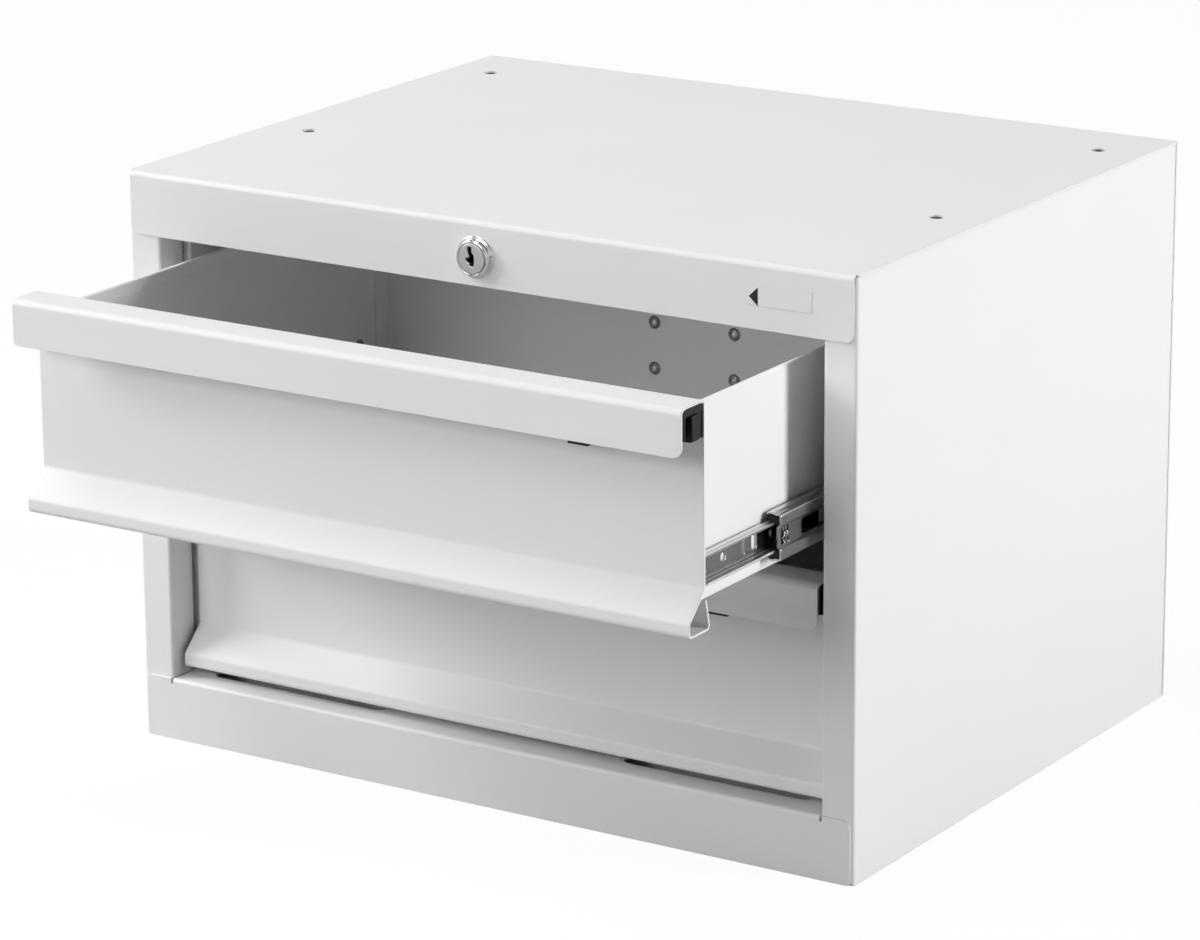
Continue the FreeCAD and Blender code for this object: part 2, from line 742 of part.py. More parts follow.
def make_slide_posts():
    """Hat-section posts on the side walls, two a side, pierced for the slide rivets."""
    inner_lip = "wall_inside - cabinet_sheet"
    for end in ("front", "rear"):
        near = f"{end}_post_y"
        far = f"{end}_post_y + post_width"
        hat = prism(f"{end}_hat", "XY_Plane", [
            ("wall_inside", f"{near} - post_lip"),
            (inner_lip, f"{near} - post_lip"),
            (inner_lip, near),
            ("post_inside", near, "cabinet_bend"),
            ("post_inside", far, "cabinet_bend"),
            (inner_lip, far),
            (inner_lip, f"{far} + post_lip"),
            ("wall_inside", f"{far} + post_lip"),
            ("wall_inside", f"{far} - cabinet_sheet"),
            ("post_inside + cabinet_sheet", f"{far} - cabinet_sheet", "inner_bend"),
            ("post_inside + cabinet_sheet", f"{near} + cabinet_sheet", "inner_bend"),
            ("wall_inside", f"{near} + cabinet_sheet"),
        ], "2 * cabinet_sheet", "under_top - cabinet_sheet")
        holes = [
            cylinder(
                f"{end}_{level}_post_hole", "x", (f"{end}_post_rivet_y", f"{level}_slide_height"),
                "rivet_shank / 2 + rivet_clearance", "post_inside - cabinet_sheet",
                "post_inside + 2 * cabinet_sheet",
            )
            for level in ("upper", "lower")
        ]
        right = node(cut(f"{end}_right_slide_post", hat, holes))
        node(mirror(f"{end}_left_slide_post", right))


def make_post_rivets():
    """Rivets flush in the outer slides and headed behind the posts."""
    right = []
    for end in ("front", "rear"):
        for level in ("upper", "lower"):
            place_yz = (f"{end}_post_rivet_y", f"{level}_slide_height")
            behind = "post_inside + cabinet_sheet"
            name = f"{end}_{level}_post_rivet"
            shank = cylinder(
                f"{name}_shank", "x", place_yz, "rivet_shank / 2", "post_inside - slide_sheet", behind,
            )
            head = dome(f"{name}_head", "+x", (behind, *place_yz), "rivet_head", "rivet_head_rise")
            right.append(fuse(name, [shank, head]))
    twins = [mirror(f"{rivet.Name}_left", rivet) for rivet in right]
    node(group("post_slide_rivets", right + twins))


def channel(name, level, half, flange, web, edge, span):
    """A slide section: a web between two distances from the drawer side, and two flanges that run
    from it to the edge, with their outer faces at the half height."""
    middle = f"{level}_slide_height"
    back, face = [f"tray_half + {distance}" for distance in web]
    tip = f"tray_half + {edge}"
    return prism(name, "XZ_Plane", [
        (back, f"{middle} - {half}", "slide_bend"),
        (back, f"{middle} + {half}", "slide_bend"),
        (tip, f"{middle} + {half}"),
        (tip, f"{middle} + {half} - {flange}"),
        (face, f"{middle} + {half} - {flange}"),
        (face, f"{middle} - {half} + {flange}"),
        (tip, f"{middle} - {half} + {flange}"),
        (tip, f"{middle} - {half}"),
    ], *span)


def make_outer_slides(level):
    """The slide members fixed to the posts."""
    span = ("closed_slide_y", "closed_slide_y + slide_length")
    web = ("slide_thickness", "outer_web")
    blank = channel(f"{level}_outer_blank", level, "outer_slide_half", "slide_sheet", web, "outer_edge", span)
    holes = [
        cylinder(
            f"{level}_{end}_outer_hole", "x", (f"{end}_post_rivet_y", f"{level}_slide_height"),
            "rivet_shank / 2 + rivet_clearance", "post_inside - 2 * slide_sheet", "post_inside + slide_sheet",
        )
        for end in ("front", "rear")
    ]
    right = node(cut(f"{level}_right_outer_slide", blank, holes))
    node(mirror(f"{level}_left_outer_slide", right))


def make_middle_slides(level):
    """The floating slide members, with a plastic liner inside the front end of each."""
    start = f"{level}_middle_y"
    span = (start, f"{start} + slide_length")
    web = ("middle_web + slide_sheet", "middle_web")
    right = channel(
        f"{level}_right_middle_slide", level, "middle_slide_half", "slide_sheet", web, "middle_edge", span,
    )
    node(right)
    node(mirror(f"{level}_left_middle_slide", right))
    back = "tray_half + middle_web"
    tip = "tray_half + outer_edge"
    face = "tray_half + inner_edge + web_clearance"
    middle = f"{level}_slide_height"
    inside = "(middle_slide_half - slide_sheet)"
    opening = "(inner_slide_half + web_clearance)"
    bumper = prism(f"{level}_bumper", "XZ_Plane", [
        (back, f"{middle} - {inside}"),
        (back, f"{middle} + {inside}"),
        (tip, f"{middle} + {inside}"),
        (tip, f"{middle} + {opening}"),
        (face, f"{middle} + {opening}"),
        (face, f"{middle} - {opening}"),
        (tip, f"{middle} - {opening}"),
        (tip, f"{middle} - {inside}"),
    ], start, f"{start} + bumper_length")
    node(group(f"{level}_middle_bumpers", [bumper, mirror(f"{level}_bumper_left", bumper)]))


def rivet_places(level):
    """Where the rivets along a drawer side stand."""
    return [f"{level}_inner_y + tray_rivet_{part}" for part in ("front", "middle", "rear")]


def make_inner_slides(level):
    """The slide members riveted to the tray, pierced and slotted near the front."""
    start = f"{level}_inner_y"
    middle = f"{level}_slide_height"
    web = ("0", "slide_sheet")
    blank = channel(
        f"{level}_inner_blank", level, "inner_slide_half", "slide_sheet", web, "inner_edge",
        (start, f"{start} + slide_length"),
    )
    through = ("tray_half - slide_sheet", "tray_half + 2 * slide_sheet")
    slot_up = (f"{middle} - slide_slot_height / 2", f"{middle} + slide_slot_height / 2")
    cutters = [
        cylinder(
            f"{level}_stop_hole", "x", (f"{start} + slide_stop_hole_place", middle),
            "slide_stop_hole / 2", *through,
        ),
    ]
    for kind in ("thin", "wide"):
        centre = f"{start} + slide_{kind}_slot_place"
        half = f"slide_{kind}_slot_width / 2"
        slot_y = (f"{centre} - {half}", f"{centre} + {half}")
        cutters.append(box(f"{level}_{kind}_slot", through, slot_y, slot_up))
    for index, rivet_y in enumerate(rivet_places(level)):
        cutters.append(cylinder(
            f"{level}_inner_rivet_hole_{index}", "x", (rivet_y, middle),
            "rivet_shank / 2 + rivet_clearance", *through,
        ))
    right = node(cut(f"{level}_right_inner_slide", blank, cutters))
    node(mirror(f"{level}_left_inner_slide", right))


def make_ball_cages(level, race):
    """The two ball cages of one race of a drawer's slides, each with two rows of balls."""
    middle = f"{level}_slide_height"
    start = f"{level}_{race}_cage_y"
    rise = f"{race}_ball_rise"
    half = f"({rise} + cage_strip / 2)"
    web = (f"{race}_cage_web + cage_sheet", f"{race}_cage_web")
    edge = f"{race}_ball_side - ball_diameter / 2 - 2 * cage_sheet"
    blank = prism(f"{level}_{race}_cage_blank", "XZ_Plane", [
        (f"tray_half + {web[0]}", f"{middle} - {half}"),
        (f"tray_half + {web[0]}", f"{middle} + {half}"),
        (f"tray_half + {edge}", f"{middle} + {half}"),
        (f"tray_half + {edge}", f"{middle} + {half} - cage_strip"),
        (f"tray_half + {web[1]}", f"{middle} + {half} - cage_strip"),
        (f"tray_half + {web[1]}", f"{middle} - {half} + cage_strip"),
        (f"tray_half + {edge}", f"{middle} - {half} + cage_strip"),
        (f"tray_half + {edge}", f"{middle} - {half}"),
    ], start, f"{start} + cage_length")
    balls = []
    holes = []
    for index in range(int(number("cage_length") // number("ball_pitch"))):
        ball_x = f"tray_half + {race}_ball_side"
        ball_y = f"{start} + {index + 0.5} * ball_pitch"
        name = f"{level}_{race}_ball_{index}"
        holes.append(cylinder(
            f"{name}_hole", "z", (ball_x, ball_y), "ball_diameter / 2 + cage_hole_clearance",
            f"{middle} - {half} - cage_strip", f"{middle} + {half} + cage_strip",
        ))
        for side in ("+", "-"):
            ball = document.addObject("Part::Sphere", name)
            ball.setExpression("Radius", bind("ball_diameter / 2"))
            balls.append(place(ball, "+z", (ball_x, ball_y, f"{middle} {side} {rise}")))
    cage = cut(f"{level}_{race}_cage", blank, holes)
    row = group(f"{level}_{race}_balls", balls)
    twins = [mirror(f"{piece.Name}_left", piece) for piece in (cage, row)]
    node(group(f"{level}_{race}_ball_cages", [cage, row] + twins))


def make_tray(level):
    """Tray floor and hemmed sides in one sheet, with a low upstand at the front."""
    floor, rim = f"{level}_floor", f"{level}_rim"
    hem_low = f"{rim} - hem_height"
    under_rim = f"{rim} - tray_sheet"
    right = [
        ("tray_half", floor, "tray_bend"),
        ("tray_half", rim, "hem_bend"),
        ("hem_inside", rim, "hem_bend"),
        ("hem_inside", hem_low),
        ("hem_inside + tray_sheet", hem_low),
        ("hem_inside + tray_sheet", under_rim),
        ("tray_inside", under_rim),
        ("tray_inside", f"{floor} + tray_sheet"),
    ]
    left = [(f"-({corner[0]})", *corner[1:]) for corner in reversed(right)]
    folded = prism(
        f"{level}_tray_fold", "XZ_Plane", right + left, f"{level}_tray_front",
        f"{level}_tray_back - tray_sheet",
    )
    upstand = box(
        f"{level}_tray_upstand", ("-tray_inside", "tray_inside"),
        (f"{level}_tray_front", f"{level}_tray_front + tray_sheet"), (floor, f"{floor} + tray_upstand"),
    )
    holes = [
        cylinder(
            f"{level}_tray_hole_{index}", "x", (rivet_y, f"{level}_slide_height"),
            "rivet_shank / 2 + rivet_clearance", "-tray_half - tray_sheet", "tray_half + tray_sheet",
        )
        for index, rivet_y in enumerate(rivet_places(level))
    ]
    node(cut(f"{level}_tray", fuse(f"{level}_tray_blank", [folded, upstand]), holes))


def catch_rivet_places(level):
    """The four rivets of a catch, as (across, up)."""
    return [
        (
            f"catch_centre_across {side} catch_rivets_across / 2",
            f"{level}_catch_height {end} catch_rivets_up / 2",
        )
        for side in "+-" for end in "+-"
    ]


def make_tray_back(level):
    """Rear wall of the tray, hemmed like the sides and flanged forwards onto them and the floor."""
    floor, rim, rear = f"{level}_floor", f"{level}_rim", f"{level}_tray_back"
    inside = f"{rear} - tray_sheet"
    leaf = f"{rear} - hem_thickness"
    flange_y = (f"{rear} - tray_back_flange", rear)
    hemmed = prism(f"{level}_back_hem", "YZ_Plane", [
        (rear, floor),
        (rear, rim, "hem_bend"),
        (leaf, rim, "hem_bend"),
        (leaf, f"{rim} - hem_height"),
        (f"{leaf} + tray_sheet", f"{rim} - hem_height"),
        (f"{leaf} + tray_sheet", f"{rim} - tray_sheet"),
        (inside, f"{rim} - tray_sheet"),
        (inside, floor),
    ], "-hem_inside + seam_gap", "hem_inside - seam_gap")
    pieces = [
        hemmed,
        box(f"{level}_back_plate", ("-tray_half", "tray_half"), (inside, rear), (floor, f"{rim} - hem_bend")),
        box(
            f"{level}_back_floor_flange", ("-tray_inside + tray_bend", "tray_inside - tray_bend"), flange_y,
            (f"{floor} + tray_sheet", f"{floor} + 2 * tray_sheet"),
        ),
    ]
    beside = (("tray_inside - tray_sheet", "tray_inside"), ("-tray_inside", "-tray_inside + tray_sheet"))
    for index, span in enumerate(beside):
        pieces.append(box(
            f"{level}_back_side_flange_{index}", span, flange_y,
            (f"{floor} + 3 * tray_sheet", f"{rim} - hem_height - 2 * tray_sheet"),
        ))
    holes = [
        cylinder(
            f"{level}_back_hole_{index}", "y", where, "rivet_shank / 2 + rivet_clearance",
            f"{inside} - tray_sheet", f"{rear} + tray_sheet",
        )
        for index, where in enumerate(catch_rivet_places(level))
    ]
    node(cut(f"{level}_tray_back", fuse(f"{level}_back_blank", pieces), holes))


def make_drawer_front(level):
    """One folded sheet: hooded finger lip on top, flat panel, and a pull rolled into a tube below."""
    lip, panel, behind = f"{level}_lip_y", f"{level}_panel_y", f"{level}_tray_front"
    bottom, top, lip_low = f"{level}_bottom", f"{level}_hood_top", f"{level}_lip_bottom"
    pull = f"{lip} + pull_setback"
    pull_top = f"{bottom} + pull_lip_height"
    inner_slant = "front_sheet * pull_slope - slant_thickness"
    inner_bend = "pull_bend - front_sheet"
    tube = f"{lip} + tube_back"
    folded = prism(f"{level}_front_fold", "YZ_Plane", [
        (lip, lip_low),
        (lip, top, "hood_bend"),
        (behind, top, "hood_back_bend"),
        (behind, f"{pull_top} + pull_rise + {inner_slant}"),
        (f"{pull} + front_sheet", f"{pull_top} + {inner_slant}", inner_bend),
        (f"{pull} + front_sheet", f"{bottom} + front_sheet", inner_bend),
        (f"{tube} - lean_thickness - front_sheet * tube_flange_slope", f"{bottom} + front_sheet", inner_bend),
        (f"{tube} - lean_thickness - tube_flange_lean", f"{bottom} + tube_flange_height"),
        (f"{tube} - tube_flange_lean", f"{bottom} + tube_flange_height"),
        (tube, bottom, "pull_bend"),
        (pull, bottom, "pull_bend"),
        (pull, pull_top, "pull_bend"),
        (panel, f"{pull_top} + pull_rise", "pull_bend"),
        (panel, f"{top} - front_sheet", "hood_back_bend - front_sheet"),
        (f"{lip} + front_sheet", f"{top} - front_sheet", "hood_bend - front_sheet"),
        (f"{lip} + front_sheet", lip_low),
    ], "-front_half", "front_half")
    rounded = folded
    for side, corner_x in (("left", "-front_half"), ("right", "front_half")):
        rounded = round_edges(
            f"{level}_front_{side}_rounded", rounded, "xz", [(corner_x, lip_low)], f"{side}_lip_corner",
        )
    notch = box(
        f"{level}_front_notch", ("-tray_half - moving_gap", "tray_half + moving_gap"),
        (panel, f"{tube} + front_sheet"), (f"{level}_floor", f"{bottom} + tube_flange_height + front_sheet"),
    )
    node(cut(f"{level}_front", rounded, [notch]))


def make_catch(level):
    """Angle bracket on the back of the tray, whose shelf has the hole for the lock finger."""
    wall, height, shelf = f"{level}_tray_back", f"{level}_catch_height", f"{level}_shelf_top"
    shelf_end = f"{wall} + catch_sheet + catch_shelf_reach"
    hole_y = f"catch_hole_y - {level}_open"
    plate = box(
        f"{level}_catch_plate",
        ("catch_centre_across - catch_half_width", "catch_centre_across + catch_half_width"),
        (wall, f"{wall} + catch_sheet"), (f"{height} - catch_half_height", f"{height} + catch_half_height"),
    )
    ledge = box(
        f"{level}_catch_shelf",
        ("catch_centre_across - catch_shelf_width / 2", "catch_centre_across + catch_shelf_width / 2"),
        (wall, shelf_end), (f"{shelf} - catch_sheet", shelf),
    )
    cutters = [box(
        f"{level}_catch_hole",
        ("catch_centre_across - catch_hole_width / 2", "catch_centre_across + catch_hole_width / 2"),
        (hole_y, f"{hole_y} + catch_hole_depth"), (f"{shelf} - 2 * catch_sheet", f"{shelf} + catch_sheet"),
    )]
    for index, where in enumerate(catch_rivet_places(level)):
        cutters.append(cylinder(
            f"{level}_catch_rivet_hole_{index}", "y", where, "rivet_shank / 2 + rivet_clearance",
            f"{wall} - catch_sheet", f"{wall} + 2 * catch_sheet",
        ))
    node(cut(f"{level}_catch_bracket", fuse(f"{level}_catch_blank", [plate, ledge]), cutters))


def make_drawer_rivets(level):
    """Rivets of a drawer: three through each side into the slides, four through the back."""
    inside, outside = "tray_inside", "tray_half + slide_sheet"
    right = []
    for index, rivet_y in enumerate(rivet_places(level)):
        where = (rivet_y, f"{level}_slide_height")
        name = f"{level}_side_rivet_{index}"
        right.append(fuse(name, [
            cylinder(f"{name}_shank", "x", where, "rivet_shank / 2", inside, outside),
            dome(f"{name}_head", "-x", (inside, *where), "rivet_head", "rivet_head_rise"),
            dome(f"{name}_tail", "+x", (outside, *where), "rivet_tail", "rivet_tail_rise"),
        ]))
    twins = [mirror(f"{rivet.Name}_left", rivet) for rivet in right]
    front, rear = f"{level}_tray_back - tray_sheet", f"{level}_tray_back + catch_sheet"
    for index, (across, up) in enumerate(catch_rivet_places(level)):
        name = f"{level}_catch_rivet_{index}"
        twins.append(fuse(name, [
            cylinder(f"{name}_shank", "y", (across, up), "rivet_shank / 2", front, rear),
            dome(f"{name}_head", "-y", (across, front, up), "rivet_head", "rivet_head_rise"),
            dome(f"{name}_tail", "+y", (across, rear, up), "rivet_tail", "rivet_tail_rise"),
        ]))
    node(group(f"{level}_drawer_rivets", right + twins))


def make_latch(level):
    """Finger latch in the hood: a bar that ends in a nose, its finger tab, the end cap that straddles
    the nose, two guides under the hood and a click spring."""
    lip, panel, under = f"{level}_lip_y", f"{level}_panel_y", f"{level}_under_hood"
    low, high = f"{level}_latch_bottom", f"{level}_latch_top"
    bar_y = (f"{lip} + latch_bar_setback", f"{lip} + latch_bar_setback + latch_bar_thickness")
    nose_y = (f"{lip} + latch_nose_setback", f"{lip} + latch_nose_setback + latch_nose_depth")
    notches = [
        cylinder(
            f"{level}_click_notch_{index}", "z", (f"click_tip_x + {shift}", f"{bar_y[1]} + click_notch / 2"),
            "click_notch", f"{low} - cutter_margin", f"{high} + cutter_margin",
        )
        for index, shift in enumerate(("0", "-latch_travel"))
    ]
    strip = box(f"{level}_latch_strip", ("latch_bar_x", "latch_nose_end"), bar_y, (low, high))
    nose = box(f"{level}_latch_nose", ("latch_nose_x", "latch_nose_end"), nose_y, (low, high))
    node(cut(f"{level}_latch_bar", fuse(f"{level}_latch_blank", [strip, nose]), notches))
    node(box(
        f"{level}_latch_tab", ("latch_tab_x", "latch_tab_x + latch_tab_width"),
        (f"{bar_y[0]} - latch_tab_thickness", bar_y[0]), (f"{level}_lip_bottom - latch_tab_reach", high),
    ))
    cap_front = f"{lip} + front_sheet + moving_gap"
    cap_low = f"{under} - latch_cap_height"
    cap = fuse(f"{level}_cap_blank", [
        prism(f"{level}_cap_{part}", "YZ_Plane", [
            (cap_front, cap_low),
            (cap_front, top, "hood_bend"),
            (back, top, "hood_back_bend"),
            (back, cap_low),
        ], *span)
        for part, back, top, span in (
            (
                "body", f"{panel} - moving_gap", f"{under} - moving_gap / 2",
                ("latch_cap_x", "latch_cap_end"),
            ),
            (
                "plate", f"{cap_front} + latch_cap_depth", f"{under} + front_sheet / 3",
                ("front_half", "latch_cap_end"),
            ),
        )
    ])
    passage = box(
        f"{level}_cap_passage", ("latch_cap_x - cutter_margin", "latch_cap_end + cutter_margin"),
        (f"{nose_y[0]} - latch_clearance", f"{nose_y[1]} + latch_clearance"),
        (f"{low} - latch_clearance", f"{high} + latch_clearance"),
    )
    node(cut(f"{level}_latch_end_cap", cap, [passage]))
    guides = []
    for side in ("left", "right"):
        start = f"stile_inside - {side}_latch_guide"
        span = (start, f"{start} + latch_guide_width")
        gap_y = (f"{bar_y[0]} - latch_clearance", f"{bar_y[1]} + latch_clearance")
        guides.append(cut(f"{level}_{side}_guide", box(
            f"{level}_{side}_guide_block", span,
            (f"{gap_y[0]} - latch_guide_wall", f"{gap_y[1]} + latch_guide_wall"),
            (f"{low} - latch_clearance - latch_guide_wall", under),
        ), [box(
            f"{level}_{side}_guide_gap", (f"{span[0]} - cutter_margin", f"{span[1]} + cutter_margin"), gap_y,
            (f"{low} - latch_clearance", f"{high} + latch_clearance"),
        )]))
    node(group(f"{level}_latch_guides", guides))
    tip_y = f"{bar_y[1]} + moving_gap"
    base_y = f"{panel} - click_spring_sheet"
    spring_low = f"({low} + {high} - click_spring_height) / 2"
    node(prism(f"{level}_click_spring", "XY_Plane", [
        ("click_spring_x", panel),
        ("click_spring_x", base_y),
        ("click_bend_x", base_y),
        ("click_tip_x", tip_y),
        ("click_tip_x + 2 * click_spring_sheet", f"{tip_y} + click_spring_sheet"),
        ("click_tip_x", f"{tip_y} + 2 * click_spring_sheet"),
        ("click_bend_x + click_spring_sheet", panel),
    ], spring_low, f"{spring_low} + click_spring_height"))


def make_lock_cylinder():
    """Lock housing with a collar round the plug's head, its nut, and the plug with its clip and keyway."""
    centre = ("0", "lock_height")
    bore = cylinder(
        "housing_bore", "y", centre, "plug_shank / 2 + plug_fit", "lock_flange_y - cutter_margin",
        "barrel_end + cutter_margin",
    )
    well = cylinder(
        "housing_well", "y", centre, "plug_head / 2 + moving_gap", "lock_collar_y - cutter_margin",
        "lock_flange_y",
    )
    shell = fuse("housing_blank", [
        cylinder("housing_flange", "y", centre, "lock_flange / 2", "lock_flange_y", "front_y"),
        cylinder("housing_collar", "y", centre, "lock_collar / 2", "lock_collar_y", "front_y"),
        cylinder("housing_barrel", "y", centre, "lock_barrel / 2", "lock_flange_y", "barrel_end"),
    ])
    node(cut("lock_housing", shell, [bore, well]))
    corner = "lock_nut_across / sqrt(3)"
    half_flat = "lock_nut_across / 2"
    hexagon = [
        (corner, "lock_height"), (f"{corner} / 2", f"lock_height + {half_flat}"),
        (f"-{corner} / 2", f"lock_height + {half_flat}"), (f"-{corner}", "lock_height"),
        (f"-{corner} / 2", f"lock_height - {half_flat}"), (f"{corner} / 2", f"lock_height - {half_flat}"),
    ]
    nut_hole = cylinder(
        "nut_hole", "y", centre, "lock_barrel / 2 + plug_fit", "stile_y - cutter_margin",
        "barrel_end + cutter_margin",
    )
    blank = prism("nut_blank", "XZ_Plane", hexagon, "stile_y", "stile_y + lock_nut_thickness")
    node(cut("lock_nut", blank, [nut_hole]))
    head_end = "plug_head_y + plug_head_length"
    head = cylinder("plug_head", "y", centre, "plug_head / 2", "plug_head_y", head_end)
    chamfer = document.addObject("Part::Chamfer", "plug_head_chamfered")
    document.recompute()
    chamfer.Base = head
    front = [
        index for index, edge in enumerate(head.Shape.Edges, start=1)
        if len(edge.Vertexes) == 1 and abs(edge.CenterOfMass.y - number("plug_head_y")) < 1e-4
    ]
    chamfer.Edges = [(index, number("plug_head_edge"), number("plug_head_edge")) for index in front]
    inside_head = "plug_head_y + plug_head_length / 2"
    shank = cylinder("plug_shank_bar", "y", centre, "plug_shank / 2", inside_head, "plug_end")
    groove_y = ("barrel_end + moving_gap", "barrel_end + moving_gap + plug_clip_thickness")
    core = "plug_shank / 2 - plug_groove_depth"
    groove = cut(
        "plug_groove", cylinder("groove_disc", "y", centre, "plug_shank", *groove_y),
        [cylinder("groove_core", "y", centre, core, "barrel_end", "plug_end")],
    )
    keyway_y = ("plug_head_y - cutter_margin", "plug_head_y + keyway_depth")
    keyway_low = "lock_height - keyway_drop"
    window_low = f"{keyway_low} + key_window_rise"
    half_slot = "keyway_width / 2"
    cutters = [
        groove,
        cylinder(
            "rod_socket_bore", "y", centre, "rod_diameter / 2 + plug_fit", "rod_start",
            "plug_end + cutter_margin",
        ),
        box(
            "keyway", (f"-{half_slot}", half_slot), keyway_y,
            (keyway_low, f"{keyway_low} + keyway_height"),
        ),
        box(
            "key_window", (f"-{half_slot} - key_window_width", "0"), keyway_y,
            (window_low, f"{window_low} + key_window_height"),
        ),
    ]
    node(cut("lock_plug", fuse("plug_blank", [chamfer, shank]), cutters))
    ring = cylinder("clip_disc", "y", centre, "plug_clip / 2", *groove_y)
    inside = [
        cylinder("clip_hole", "y", centre, f"{core} + plug_fit", "barrel_end", "plug_end"),
        box(
            "clip_mouth", ("-plug_shank / 4", "plug_shank / 4"), groove_y,
            ("lock_height", "lock_height + plug_clip"),
        ),
    ]
    node(cut("lock_plug_clip", ring, inside))


def make_lock_rod():
    """Rod from the plug to the back, the bracket that steadies it, and the crank on its end."""
    centre = ("0", "lock_height")
    node(cylinder("lock_rod", "y", centre, "rod_diameter / 2", "rod_start", "crank_hub_end"))
    half = "rod_bracket_width / 2"
    plate_y = ("rod_bracket_y", "rod_bracket_y + rod_bracket_sheet")
    bracket = fuse("rod_bracket_blank", [
        box("rod_bracket_plate", (f"-{half}", half), plate_y, ("lock_height - rod_diameter", "under_top")),
        box(
            "rod_bracket_top", (f"-{half}", half), ("rod_bracket_y - rod_bracket_foot", plate_y[1]),
            ("under_top - rod_bracket_sheet", "under_top"),
        ),
    ])
    hole = cylinder(
        "rod_bracket_hole", "y", centre, "rod_diameter / 2 + rod_fit", "rod_bracket_y - cutter_margin",
        f"{plate_y[1]} + cutter_margin",
    )
    node(cut("rod_bracket", bracket, [hole]))
    at_rod = ("0", "0")
    blank = fuse("crank_blank", [
        cylinder("crank_hub_bar", "y", at_rod, "crank_hub / 2", "crank_hub_start", "crank_hub_end"),
        cylinder("crank_tip", "y", ("crank_radius", "0"), "crank_width / 2", "crank_front", "crank_back"),
        cylinder("crank_pin_bar", "y", ("crank_radius", "0"), "crank_pin / 2", "crank_front", "pin_end"),
        box(
            "crank_arm", ("0", "crank_radius"), ("crank_front", "crank_back"),
            ("-crank_width / 2", "crank_width / 2"),
        ),
    ])
    bore = cylinder(
        "crank_bore", "y", at_rod, "rod_diameter / 2 + plug_fit", "crank_hub_start - cutter_margin",
        "crank_hub_end + cutter_margin",
    )
    crank = node(cut("lock_crank", blank, [bore]))
    crank.Placement = FreeCAD.Placement(FreeCAD.Vector(), FreeCAD.Rotation(FreeCAD.Vector(0, 1, 0), -45))
    crank.setExpression(".Placement.Base.z", bind("lock_height"))


def make_lock_bar():
    """Upright bar behind the drawers with a slotted ear for the crank pin and a finger for each
    drawer's catch, and the guides that hold it to the back panel."""
    thickness = ("lock_bar_front", "lock_bar_back")
    top = "pin_rest_height + pin_slot_half + lock_bar_head"
    pieces = [
        box("lock_bar_strip", ("lock_bar_left", "lock_bar_right"), thickness, ("lock_bar_foot", top)),
        box(
            "lock_bar_ear_plate", ("lock_bar_left - lock_bar_ear", "lock_bar_right"), thickness,
            ("pin_rest_height - pin_slot_half - lock_bar_head", top),
        ),
    ]
    across = ("catch_centre_across - finger_width / 2", "catch_centre_across + finger_width / 2")
    for level in ("upper", "lower"):
        tip = f"{level}_finger_tip"
        pieces.append(box(
            f"{level}_finger_leg", across, ("finger_y", "finger_y + finger_thickness"),
            (tip, f"{tip} + finger_length"),
        ))
        pieces.append(box(
            f"{level}_finger_arm", across, ("finger_y", "lock_bar_back"),
            (f"{tip} + finger_length - finger_thickness", f"{tip} + finger_length"),
        ))
    slot = box(
        "pin_slot", ("pin_slot_left", "pin_slot_right"),
        ("lock_bar_front - cutter_margin", "lock_bar_back + cutter_margin"),
        ("pin_rest_height - pin_slot_half", "pin_rest_height + pin_slot_half"),
    )
    node(cut("lock_bar", fuse("lock_bar_blank", pieces), [slot]))
    gap_x = ("lock_bar_left - guide_clearance", "lock_bar_right + guide_clearance")
    gap_y = ("lock_bar_front - guide_clearance", "lock_bar_back + guide_clearance")
    guides = []
    for part in ("upper", "middle", "lower"):
        height = f"{part}_guide_height"
        block = box(
            f"{part}_guide_block", (f"{gap_x[0]} - guide_side", f"{gap_x[1]} + guide_side"),
            (f"{gap_y[0]} - guide_sheet", "back_inside"), (height, f"{height} + guide_height"),
        )
        gap = box(
            f"{part}_guide_gap", gap_x, gap_y,
            (f"{height} - cutter_margin", f"{height} + guide_height + cutter_margin"),
        )
        guides.append(cut(f"{part}_bar_guide", block, [gap]))
    node(group("lock_bar_guides", guides))


def check_pieces():
    """Stops if an object failed, or if a finished piece is empty or not valid."""
    failed = [item.Name for item in document.Objects if {"Invalid", "Error"} & set(item.State)]
    broken = [piece.Label for piece in nodes if piece.Shape.isNull() or not piece.Shape.isValid()]
    hollow = [piece.Label for piece in nodes if not piece.Shape.Solids]
    if failed or broken or hollow:
        raise RuntimeError(f"failed objects {failed}, broken shapes {broken}, no solid {hollow}")


def main():
    """Fills the sheets, makes every piece, checks them all and writes one file each."""
    fill_sheet("Sizes", SIZES)
    fill_sheet("Places", PLACES)
    document.recompute()
    make_side_panels()
    make_back_panel()
    make_bottom_panel()
    make_top_panel()
    make_toe_rail()
    make_slide_posts()
    make_post_rivets()
    for level in ("upper", "lower"):
        make_outer_slides(level)
        make_middle_slides(level)
        make_inner_slides(level)
        make_ball_cages(level, "outer")
        make_ball_cages(level, "inner")
        make_tray(level)
        make_tray_back(level)
        make_drawer_front(level)
        make_catch(level)
        make_drawer_rivets(level)
        make_latch(level)
    make_lock_cylinder()
    make_lock_rod()
    make_lock_bar()
    document.recompute()
    check_pieces()
    os.makedirs("parts", exist_ok=True)
    for piece in nodes:
        piece.Shape.exportStep(f"parts/{piece.Label}.step")
        print(f"{piece.Label}: {len(piece.Shape.Solids)} solids, {piece.Shape.Volume:.1f} mm3")


main()
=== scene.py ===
"""The looks of a two-drawer van cabinet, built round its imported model.

Metres, X to the right, Y to the back and Z up, with the origin at the centre of the cabinet's
footprint on the floor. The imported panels, trays and lock works keep their shapes and get their
finishes here. Slides, rivets, latch ends and the lock face are built again in more detail, in
millimetres.
"""

from __future__ import annotations

import json
import logging
import math
from dataclasses import dataclass, field
from enum import Enum

